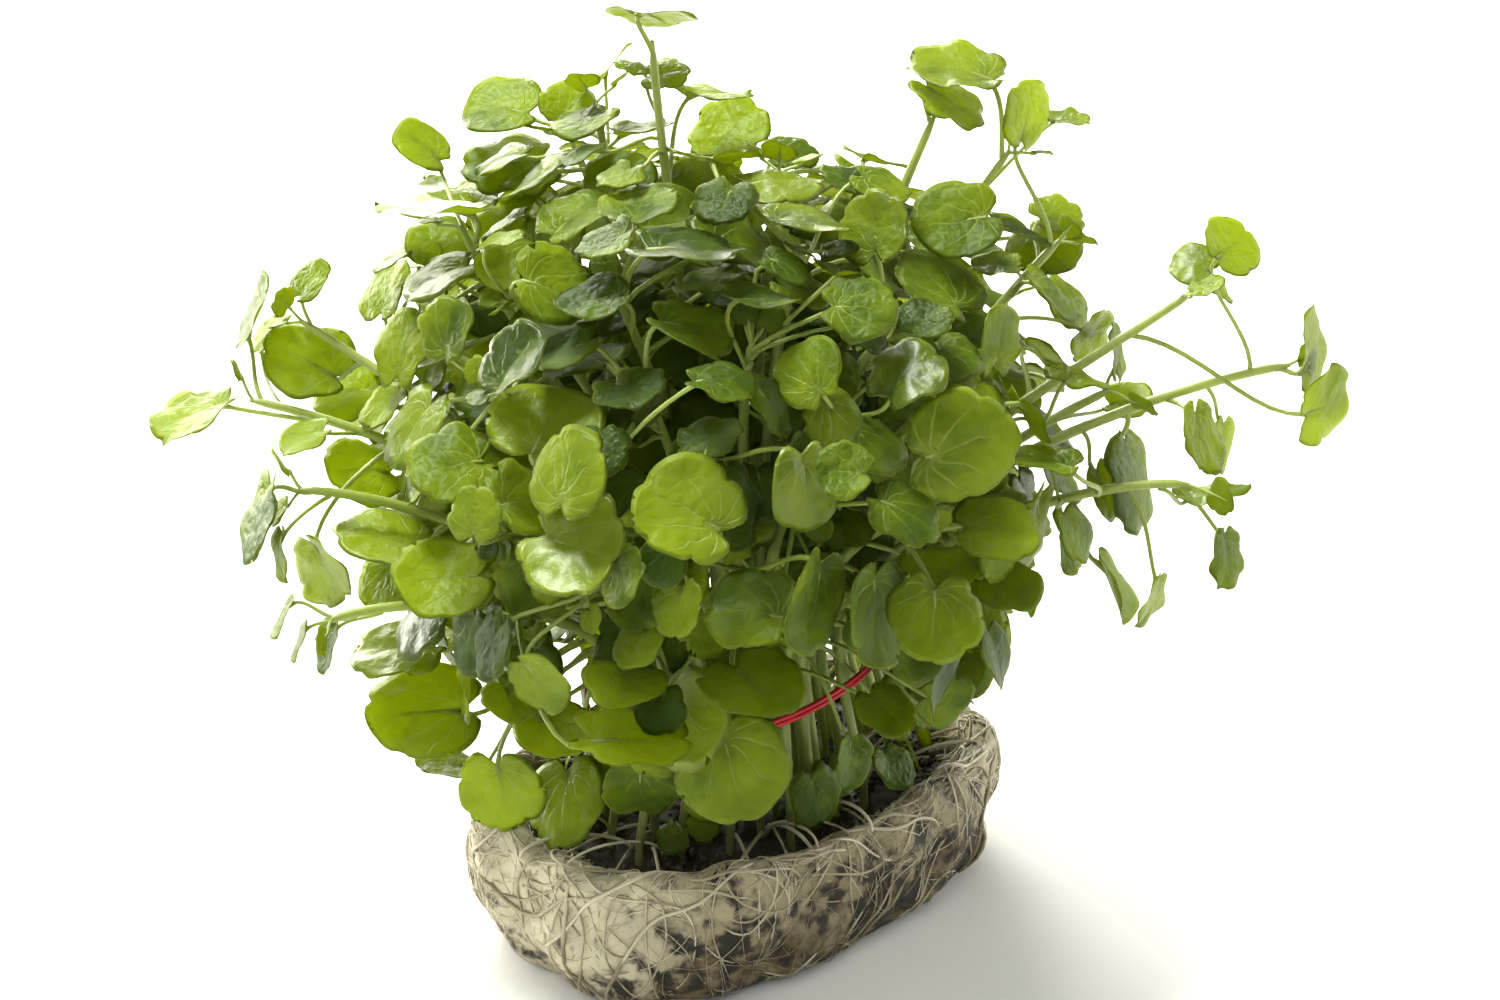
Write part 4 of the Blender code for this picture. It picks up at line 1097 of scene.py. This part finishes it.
class Lines:
    # polylines with a thickness at each point, and loose points that stand for leaves
    def __init__(self):
        self.points, self.edges, self.thickness, self.tone = [], [], [], []
        self.leaves = []

    def addLine(self, path, radii, tone, closed=False):
        first = len(self.points)
        self.points += [point * mm for point in path]
        self.thickness += [radius * mm for radius in radii]
        self.tone += [tone] * len(path)
        self.edges += [(first + step, first + step + 1) for step in range(len(path) - 1)]
        if closed:
            self.edges.append((first + len(path) - 1, first))

    def mesh(self, name):
        count, leaves = len(self.points), self.leaves
        made = addMesh(name, self.points + [leaf.centre * mm for leaf in leaves], self.edges, [])
        addLayer(made, "isLeaf", "BOOLEAN", [False] * count + [True] * len(leaves))
        addLayer(made, "isFine", "BOOLEAN", [False] * count + [leaf.fine for leaf in leaves])
        addLayer(made, "thickness", "FLOAT", self.thickness + [0.0] * len(leaves))
        addLayer(made, "leafTone", "FLOAT", self.tone + [leaf.tone for leaf in leaves])
        for each in leafNumbers + ("age",):
            scale = mm if each == "radius" else 1.0
            addLayer(made, layerName(each), "FLOAT",
                     [0.0] * count + [getattr(leaf, each) * scale for leaf in leaves])
        for each in leafVectors:
            scale = mm if each == "centre" else 1.0
            flat = [number for leaf in leaves for number in getattr(leaf, each) * scale]
            addLayer(made, layerName(each), "FLOAT_VECTOR", [0.0] * (3 * count) + flat)
        return made


def stemPath(stem):
    foot = Vector((*stem.foot, stems["footStraight"] - 3.0))
    waist = Vector((*stem.waist, stems["waistTop"]))
    path = [Vector((*stem.foot, stems["footBottom"] + 0.5))]
    rise = waist.z - foot.z
    low, high = leafLook["lowSteps"], leafLook["crownSteps"]
    path += [hermite(foot, Vector((0, 0, rise)), waist, Vector((0, 0, rise)), step / low)
             for step in range(low + 1)]
    return path + [stem.crownPoint(step / high) for step in range(1, high + 1)]


def addStalk(lines, leaf, tone):
    # the stalk widens into the blade and goes on underneath it as the midrib
    steps = leafLook["stalkSteps"][leaf.fine]
    start, startPull, _end, endPull = leaf.stalk
    sunk = leaf.radius * leafLook["inputs"]["Funnel"] + 0.35
    end = leaf.surface(leafLook["stalkEnd"], math.pi) - leaf.normal * sunk
    wide = blade["stalkRadius"] * min(1.0, 0.42 + leaf.radius / 20.0)
    path = [hermite(start, startPull, end, endPull, step / steps) for step in range(steps + 1)]
    radii = [wide * (1.05 - 0.2 * step / steps) for step in range(steps + 1)]
    radii[-1] = wide * 1.15
    for reach, turn, thin in leafLook["midrib"]:
        path.append(leaf.surface(reach, turn) - leaf.normal * leafLook["midribDrop"])
        radii.append(wide * thin)
    lines.addLine(path, radii, tone)


def ripenLeaf(leaf, rng):
    # how light, how old and how lobed a leaf is, by its place: leaves deep in the bunch are darker,
    # partly as older leaves and partly as painted shade, and the table of tones paints light and
    # shade by place in the front view
    leaf.tone = rng.random()
    leaf.age = rng.random()
    # painted shade: the deeper a leaf sits in the bunch, the darker its tone
    depth = (leaf.centre - dome["centre"]).length / dome["radius"]
    inner = (depth - leafLook["innerReach"]) / leafLook["innerFade"]
    leaf.tone *= clamp(inner, leafLook["innerShadeTone"])
    placeAcross, placeOver, near = frontPlace(leaf.centre)

    def isNear(across, over, reach):
        return math.hypot(placeAcross - across, placeOver - over) < reach

    for across, over, reach, least, most in tonesWithPaintedLight:
        if near > leafLook["tonedDepth"] and isNear(across, over, reach):
            leaf.tone = least + (most - least) * leaf.tone
            leaf.age = min(leaf.age, most)
            break
    if leaf.fine and any(isNear(across, over, leafLook["shinyReach"]) for across, over in shiny):
        leaf.age = 1.0
    leaf.lobes = float(rng.choice(leafLook["lobeCounts"]))
    leaf.oval = rng.uniform(-0.06, 0.06)


def makeLeafyStems(allStems, leaves, leafFinish, stemFinish):
    rng = random.Random(seed + 4)
    tree, where = leafyStemTree()
    templates = {label: bladeTemplate(*row) for label, row in leafLook["templates"].items()}
    for leaf in leaves:
        ripenLeaf(leaf, rng)
    values = {**templates, **leafLook["inputs"],
              "Leaf material": leafFinish, "Stem material": stemFinish}
    spareLayers = ["isLeaf", "isFine", "isBlade", "thickness", "turn"]
    spareLayers += [layerName(each) for each in leafNumbers + leafVectors]
    swell = leafLook["stemMiddle"] - leafLook["stemFoot"]
    for number, stem in enumerate(allStems):
        lines = Lines()
        path = stemPath(stem)
        radii = [leafLook["stemFoot"] + swell * math.sin(math.pi * step / (len(path) - 1))
                 for step in range(len(path))]
        radii[-1] *= 0.5
        tone = rng.random()
        lines.addLine(path, radii, tone)
        for leaf in leaves:
            if leaf.owner == number:
                addStalk(lines, leaf, tone)
                lines.leaves.append(leaf)
        piece = runTree(f"cressStem{number + 1:02d}", lines.mesh("stemLines"), tree, where, values)
        for label in spareLayers:
            spare = piece.data.attributes.get(label)
            if spare:
                piece.data.attributes.remove(spare)
        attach(piece, "root")
        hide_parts(f"leafy_stem_{number + 1:02d}")
    for template in templates.values():
        bpy.data.objects.remove(template)


leafColours = {
    "deep": rgb(0.018, 0.046, 0.006), "middle": rgb(0.086, 0.145, 0.008),
    "bright": rgb(0.235, 0.322, 0.013), "pale": rgb(0.120, 0.165, 0.035),
    "vein": rgb(0.280, 0.360, 0.065), "edge": rgb(0.260, 0.330, 0.060),
    "glow": rgb(0.480, 0.550, 0.004),
}


def leafMaterial():
    made, sheet, place = newMaterial("cressLeaf")
    plan = sheet.add("ShaderNodeUVMap", {"uv_map": "bladeMap"})
    tone, age, reach, face = (sheet.attribute(each) for each in (
        "leafTone", "leafAge", "reach", "face"))
    blotch = sheet.noise(place, 80.0, 3.0, 0.6)
    u, v, _w = sheet.parts(plan)
    half = leafLook["mapHalf"]
    x, y = (u - 0.5) / half, (v - 0.5) / half + leafLook["stalkEnd"]
    away = sheet.maths("SQRT", x * x + y * y)
    angle = sheet.maths("ARCTAN2", x, y + 0.0001) + (blotch - 0.5) * 0.5
    step = 0.58 - away * 0.06
    offset = (sheet.maths("ABSOLUTE", sheet.maths("FRACT", angle / step + 0.5) - 0.5)
              * step * away)
    veinWidth = 0.040 - away * 0.014
    mainVein = ((1.0 - sheet.fade(offset / veinWidth, 0.1, 1.0))
                * (1.0 - sheet.fade(away, 0.75, 1.55)))
    mesh = sheet.add("ShaderNodeTexVoronoi", {"feature": "DISTANCE_TO_EDGE"}, {
        "Vector": sheet.join(u + blotch * 0.2, v, tone * 5.0), "Scale": 7.0}, "Distance")
    netVein = 1.0 - sheet.fade(mesh, 0.0, 0.10)
    lightness = tone * 0.80 + blotch * 1.2 - 0.57
    green = sheet.blend(sheet.fade(lightness, 0.0, 0.55), leafColours["deep"],
                        leafColours["middle"])
    # age lightens the green towards bright: a random tone of older leaves, and painted sheen on the
    # leaves made old in shiny
    green = sheet.blend(sheet.fade(lightness + age * 0.30, 0.36, 0.92), green,
                        leafColours["bright"])
    veined = mainVein * 0.72 + netVein * 0.22
    green = sheet.blend(veined * (0.35 + 0.65 * sheet.fade(lightness, 0.0, 0.6)), green,
                        leafColours["vein"])
    green = sheet.blend((1.0 - sheet.fade(face, -0.6, 0.2)) * 0.35, green, leafColours["pale"])
    # a pale margin round each blade, lightened further as a painted highlight along the rim
    green = sheet.blend(sheet.fade(reach, 0.94, 0.99) * 0.75, green, leafColours["edge"])
    cells = sheet.noise(place, 520.0, 3.0, 0.72)
    quilt = sheet.fade(mesh, 0.0, 0.36)
    relief = cells * (0.55 + age * 1.0) + quilt * 0.45 - mainVein * 0.30
    sheet.show({
        "Base Color": green, "Roughness": 0.40 + cells * 0.14 - age * 0.18,
        "Normal": sheet.bump(0.70, 0.00040, relief),
        "Specular IOR Level": 0.25, "Specular Tint": rgb(0.84, 1.0, 0.78),
        "Coat Weight": sheet.fade(age, 0.70, 1.0) * 0.7, "Coat Roughness": 0.33},
        leafColours["glow"], 0.50 - mainVein * 0.06)
    return made


stemColours = {
    "green": rgb(0.25, 0.33, 0.05), "pale": rgb(0.44, 0.52, 0.15),
    # the stems' feet: dark olive, darkened further as painted shade low among the stems
    "shadedFootDark": rgb(0.10, 0.12, 0.035), "shadedFootPale": rgb(0.26, 0.28, 0.12),
    "glow": rgb(0.48, 0.56, 0.12),
}


def stemMaterial():
    made, sheet, place = newMaterial("cressStem")
    tone = sheet.attribute("leafTone")
    _x, _y, height = sheet.parts(place)
    streak = sheet.noise(sheet.vector("MULTIPLY", place, (1.0, 1.0, 0.12)), 700.0, 2.0)
    green = sheet.blend(sheet.fade(tone + streak * 0.6, 0.2, 1.3), stemColours["green"],
                        stemColours["pale"])
    foot = sheet.blend(streak, stemColours["shadedFootDark"], stemColours["shadedFootPale"])
    # stems turn to the foot colours below the band: painted shade low in the bunch, over their own
    # olive bases
    colour = sheet.blend(sheet.fade(height + tone * 0.012, 0.030, 0.062), foot, green)
    sheet.show({"Base Color": colour, "Roughness": 0.36 + streak * 0.12,
                "Normal": sheet.bump(0.3, 0.0002, streak)}, stemColours["glow"], 0.32)
    return made


# Elastic band

bandLook = {
    "points": 160, "sides": 10, "gap": 0.992, "radii": (0.62, 0.496),
    "dark": rgb(0.42, 0.008, 0.016), "light": rgb(0.62, 0.022, 0.040),
}


def sweepTree(name):
    sheet, given, where = newTree(name, {"Sides": "Int", "Material": "Material"})
    tubes = tubesAlong(sheet, given["Geometry"], given["Sides"])
    endTree(sheet, tubes, given["Material"])
    return sheet.tree, where


def bandMaterial():
    made, sheet, place = newMaterial("redRubber")
    dust = sheet.noise(place, 900.0, 3.0)
    colour = sheet.blend(dust, bandLook["dark"], bandLook["light"])
    sheet.show({"Base Color": colour, "Roughness": 0.36 + dust * 0.2,
                "Normal": sheet.bump(0.15, 0.0001, dust)})
    return made


def makeBand(tree, where, finish):
    lines = Lines()
    count = bandLook["points"]
    for level, radius in zip((-0.5, 0.5), bandLook["radii"]):
        path = [bandPoint(index, count) + Vector((0, 0, level * bandLook["gap"]))
                for index in range(count)]
        lines.addLine(path, [radius] * count, 0.5, closed=True)
    piece = runTree("redBand", lines.mesh("bandLines"), tree, where,
                    {"Sides": bandLook["sides"], "Material": finish})
    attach(piece, "root")
    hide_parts("elastic_band")


# Root block: a lumpy body, roots over it, soil in its top

block = {
    "around": 260, "along": 120, "lumps": 1.9, "grain": 0.55,
    # creeping roots: bundles, fewest and most in one, steps, lift, radii, lowest ring at first
    "creepers": (110, 1, 3, (7, 20), -0.10, (0.14, 0.18, 0.24, 0.30), 3.2),
    "rimCreepers": (50, 1, 4, (18, 44), 0.25, (0.18, 0.24, 0.32, 0.44), 6.6),
    "hairs": (110, 3, 3, (14, 34), 0.7, (0.07, 0.09, 0.11), 5.0),
    # how far down and in a root creeps, in rings, its step, and about how wide a ring is
    "lowest": 2.9, "innermost": 9.2, "stride": 1.7, "ringWidth": 5.5,
    "arches": 32, "archSteps": 22, "crumbs": 900, "smallestCrumb": 0.3, "largestCrumb": 1.2,
}
blockColours = {
    "brown": rgb(0.014, 0.010, 0.004), "paleBrown": rgb(0.120, 0.090, 0.040),
    "felt": rgb(0.150, 0.127, 0.066), "paleFelt": rgb(0.380, 0.340, 0.205),
    "endFelt": rgb(0.60, 0.56, 0.40),
    # soil and its crumbs: dark soil, darkened further as painted shade in the hollow under the
    # leaves
    "shadedSoil": rgb(0.010, 0.008, 0.005), "paleShadedSoil": rgb(0.050, 0.036, 0.022),
    "root": rgb(0.40, 0.35, 0.21), "paleRoot": rgb(0.72, 0.68, 0.51),
    "rootStain": rgb(0.15, 0.112, 0.056), "rootGlow": rgb(0.50, 0.46, 0.32),
    "shadedCrumb": rgb(0.008, 0.006, 0.004), "paleShadedCrumb": rgb(0.070, 0.048, 0.028),
}


def blockPoint(ring, angle):
    # the solid's outline, smooth between its rings
    rows = mat["profile"]
    low = clamp(int(ring), 0, len(rows) - 2)
    part = ring - low
    near = [rows[clamp(index, 0, len(rows) - 1)] for index in range(low - 1, low + 3)]

    def between(a, b, c, d):
        return b + 0.5 * part * (c - a + part * (2 * a - 5 * b + 4 * c - d
                                                 + part * (3 * (b - c) + d - a)))

    share, height = (max(0.0, between(*each)) for each in zip(*near))
    return outlinePoint(share, height, ring, angle)


def lumpAt(point):
    return block["lumps"] * noise.noise(point * 0.11)


def blockOutward(ring, angle):
    around = blockPoint(ring, angle + 0.01) - blockPoint(ring, angle - 0.01)
    along = blockPoint(min(10.9, ring + 0.05), angle) - blockPoint(max(0.1, ring - 0.05), angle)
    return around.cross(along).normalized()


def makeBlock(finish):
    around, along = block["around"], block["along"]
    last = len(mat["profile"]) - 1
    points, ringOf = [], []
    for row in range(along + 1):
        ring = last * row / along
        inner = clamp(ring, 0.02, last - 0.02)
        for column in range(around):
            angle = math.tau * column / around
            point = blockPoint(inner, angle)
            bump = (lumpAt(point) + block["grain"] * noise.noise(point * 0.45)
                    + block["grain"] * 0.5 * noise.noise(point * 1.3))
            settle = clamp((ring - 2.2) / 1.2)
            point += blockOutward(inner, angle) * (bump * settle)
            point.z = max(0.0, point.z)
            points.append(point * mm)
            ringOf.append(ring)
    faces = ringFaces(along + 1, around)
    faces.append(tuple(reversed(range(around))))
    faces.append(tuple(along * around + column for column in range(around)))
    mesh = addMesh("rootBlock", points, [], faces)
    mesh.shade_smooth()
    addLayer(mesh, "ring", "FLOAT", ringOf)
    mesh.materials.append(finish)
    piece = addObject("rootBlock", mesh)
    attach(piece, "root")
    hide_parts("root_mat")


def wanderRoots(lines, rng, bundles, fewest, most, stepRange, lift, radii, lowest):
    # bundles of a few roots that creep over the block side by side
    for _bundle in range(bundles):
        count = rng.randint(fewest, most) if fewest < most else most
        steps = rng.randint(*stepRange)
        ring, angle = rng.uniform(lowest, 8.8), rng.uniform(0.0, math.tau)
        heading = rng.choice((0.0, math.pi)) + rng.gauss(0.0, 0.45)
        bend = rng.gauss(0.0, 0.05)
        for _number in range(count):
            creep(lines, rng, ring + rng.gauss(0.0, 0.25), angle + rng.gauss(0.0, 0.03),
                  heading + rng.gauss(0.0, 0.12), bend + rng.gauss(0.0, 0.012), steps, lift,
                  rng.choice(radii))


def creep(lines, rng, ring, angle, heading, bend, steps, lift, radius):
    # one root along the block's surface, with both ends sunk
    lowest, innermost = block["lowest"], block["innermost"]
    ring = clamp(ring, lowest, innermost)
    path = []
    for step in range(steps):
        point = blockPoint(ring, angle)
        swell = math.sqrt(max(0.0, math.sin(math.pi * step / (steps - 1))))
        outward = blockOutward(ring, angle)
        rise = (lift * (0.4 + 0.6 * math.sin(step * 0.6 + radius * 90)) + radius * 0.6) * swell
        path.append(point + outward * (lumpAt(point) + rise - 0.5 * (1.0 - swell)))
        bend += rng.gauss(0.0, 0.075)
        bend *= 0.90
        heading += bend
        flat = max(20.0, (blockPoint(ring, angle + 0.02) - point).length / 0.02)
        angle += math.cos(heading) * block["stride"] / flat
        ring += math.sin(heading) * block["stride"] / block["ringWidth"]
        if not lowest <= ring <= innermost:
            heading = -heading
            ring = clamp(ring, lowest, innermost)
    for point in path:
        point.z = max(radius, point.z)
    taper = [radius * (0.55 + 0.45 * math.sin(math.pi * step / (steps - 1)))
             for step in range(steps)]
    lines.addLine(path, taper, rng.random())


def archRoot(lines, rng):
    # a root that springs from the soil, arches over the rim and dives into the side
    angle = rng.uniform(0.0, math.tau)
    start = blockPoint(9.6 + rng.uniform(0.0, 0.5), angle)
    end = blockPoint(rng.uniform(5.0, 7.2), angle + rng.uniform(-0.35, 0.35))
    hop = Vector((0, 0, rng.uniform(10.0, 26.0)))
    out = Vector((math.cos(angle), math.sin(angle), 0.0)) * rng.uniform(2.0, 9.0)
    steps = block["archSteps"]
    path = [hermite(start, hop + out, end, out * 0.4 - hop, step / steps)
            for step in range(steps + 1)]
    radius = rng.uniform(0.28, 0.5)
    radii = [radius * (1.0 - 0.012 * step) for step in range(steps + 1)]
    lines.addLine(path, radii, rng.random())


def makeRoots(tree, where, finish):
    rng = random.Random(seed + 5)
    roots, hairs = Lines(), Lines()
    wanderRoots(roots, rng, *block["creepers"])
    wanderRoots(roots, rng, *block["rimCreepers"])
    for _number in range(block["arches"]):
        archRoot(roots, rng)
    wanderRoots(hairs, rng, *block["hairs"])
    for name, lines, sides in (("roots", roots, 5), ("rootHairs", hairs, 3)):
        piece = runTree(name, lines.mesh(name), tree, where, {"Sides": sides, "Material": finish})
        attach(piece, "root")


def crumbTree():
    sheet, given, where = newTree("soilCrumbs", {
        "Smallest": "Float", "Largest": "Float", "Seed": "Int", "Material": "Material"})

    def anyValue(kind, slots, low, high, output):
        return sheet.add("FunctionNodeRandomValue", {"data_type": kind},
                         {slots[0]: low, slots[1]: high, "Seed": given["Seed"]}, output)

    lump = sheet.add("GeometryNodeMeshIcoSphere", {}, {"Radius": 1.0, "Subdivisions": 1})
    size = anyValue("FLOAT", (2, 3), given["Smallest"], given["Largest"], 1)
    turn = anyValue("FLOAT_VECTOR", (0, 1), (0.0, 0.0, 0.0), (6.28, 6.28, 6.28), 0)
    stretch = anyValue("FLOAT_VECTOR", (0, 1), (0.6, 0.6, 0.5), (1.4, 1.2, 0.9), 0)
    spread = sheet.add("GeometryNodeInstanceOnPoints", {}, {
        "Points": given["Geometry"], "Instance": lump, "Rotation": turn,
        "Scale": sheet.scaled(stretch, size)})
    endTree(sheet, spread, given["Material"])
    return sheet.tree, where


def makeCrumbs(finish):
    rng = random.Random(seed + 6)
    spots = []
    for number in range(block["crumbs"]):
        reach = math.sqrt((number + 0.5) / block["crumbs"])
        ring = 10.9 - 1.75 * reach
        point = blockPoint(ring, number * goldenAngle) + Vector((0, 0, rng.uniform(-0.3, 0.5)))
        spots.append(point * mm)
    tree, where = crumbTree()
    piece = runTree("soilCrumbs", addMesh("crumbSpots", spots, [], []), tree, where, {
        "Smallest": block["smallestCrumb"] * mm, "Largest": block["largestCrumb"] * mm,
        "Seed": seed, "Material": finish})
    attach(piece, "root")


def feltMaterial():
    made, sheet, place = newMaterial("rootFelt")
    ring = sheet.attribute("ring")
    x, _y, z = sheet.parts(place)
    broad = sheet.noise(place, 45.0, 3.0, 0.55)
    patch = sheet.noise(place, 110.0, 4.0, 0.62)
    spots = sheet.noise(place, 230.0, 3.0, 0.55)
    wisps = sheet.noise(place, 210.0, 4.0, 0.66, 0.8)
    brown = sheet.blend(sheet.fade(spots, 0.40, 0.60), blockColours["brown"],
                        blockColours["paleBrown"])
    cream = sheet.blend(broad, blockColours["felt"], blockColours["paleFelt"])
    # more of the felt turns dark brown towards the bottom: partly soil stain, partly painted shade
    # under the block
    lower = 1.0 - sheet.fade(z, 0.006, 0.029)
    end = sheet.fade(sheet.maths("ABSOLUTE", x), 0.032, 0.056)
    cream = sheet.blend(end * 0.7, cream, blockColours["endFelt"])
    cover = wisps * 0.12 + spots * 0.55 + patch * 0.33 - lower * 0.135 + end * 0.12 - 0.01
    felt = sheet.blend(sheet.fade(cover, 0.385, 0.52), brown, cream)
    # the soil in the top of the block: dark soil with painted shade in it
    shadedSoil = sheet.blend(sheet.noise(place, 600.0, 4.0), blockColours["shadedSoil"],
                       blockColours["paleShadedSoil"])
    inside = sheet.fade(ring + patch * 0.9, 8.9, 9.5)
    colour = sheet.blend(inside, felt, shadedSoil)
    sheet.show({"Base Color": colour, "Roughness": 0.62 + patch * 0.2,
                "Normal": sheet.bump(0.5, 0.0006, wisps + patch * 0.6)})
    return made


def rootMaterial():
    made, sheet, place = newMaterial("rootStrand")
    tone = sheet.attribute("leafTone")
    stain = sheet.noise(place, 120.0, 3.0)
    _x, _y, z = sheet.parts(place)
    lower = 1.0 - sheet.fade(z, 0.004, 0.028)
    colour = sheet.blend(tone, blockColours["root"], blockColours["paleRoot"])
    colour = sheet.blend(sheet.fade(stain + lower * 0.16, 0.57, 0.74) * 0.70, colour,
                         blockColours["rootStain"])
    sheet.show({"Base Color": colour, "Roughness": 0.42 + stain * 0.2},
               blockColours["rootGlow"], 0.25)
    return made


def soilMaterial():
    made, sheet, place = newMaterial("darkSoil")
    crumbs = sheet.noise(place, 500.0, 4.0, 0.65)
    # dark soil crumbs, darkened further as painted shade
    colour = sheet.blend(crumbs, blockColours["shadedCrumb"], blockColours["paleShadedCrumb"])
    sheet.show({"Base Color": colour, "Roughness": 0.75,
                "Normal": sheet.bump(0.6, 0.0004, crumbs)})
    return made


# The floor

def makeFloor():
    made, sheet, place = newMaterial("paleFloor")
    soft = sheet.noise(place, 3.0, 2.0)
    pale = studio["floorColour"]
    colour = sheet.blend(soft, rgb(*pale), rgb(*(studio["floorMottle"] * each for each in pale)))
    sheet.show({"Base Color": colour, "Roughness": 0.7})
    half = studio["floorSize"] / 2
    corners = [(-half, -half, 0), (half, -half, 0), (half, half, 0), (-half, half, 0)]
    mesh = addMesh("floor", corners, [], [(0, 1, 2, 3)])
    mesh.materials.append(made)
    floor = addObject("floor", mesh)


makeCamera()
makeLights()
makeFloor()
bpy.context.scene.view_settings.view_transform = "Standard"
print("studio ready")

allStems, leaves, space = layOut()
for leaf in leaves:
    leaf.fine = True
print(len(allStems), "stems and", len(leaves), "leaves as in the solids")
leaves += placeTipLeaves(allStems, space)
leaves += placeLowLeaves(allStems, space)
leaves += placeBackingLeaves(allStems, space)
leaves += placeYoungLeaves(allStems, space)
print(len(leaves), "leaves with the young ones")

makeLeafyStems(allStems, leaves, leafMaterial(), stemMaterial())
print("leafy stems grown")

sweep, sweepInputs = sweepTree("sweptLines")
makeBand(sweep, sweepInputs, bandMaterial())
makeBlock(feltMaterial())
makeRoots(sweep, sweepInputs, rootMaterial())
makeCrumbs(soilMaterial())
print("band, root block, roots and soil made")
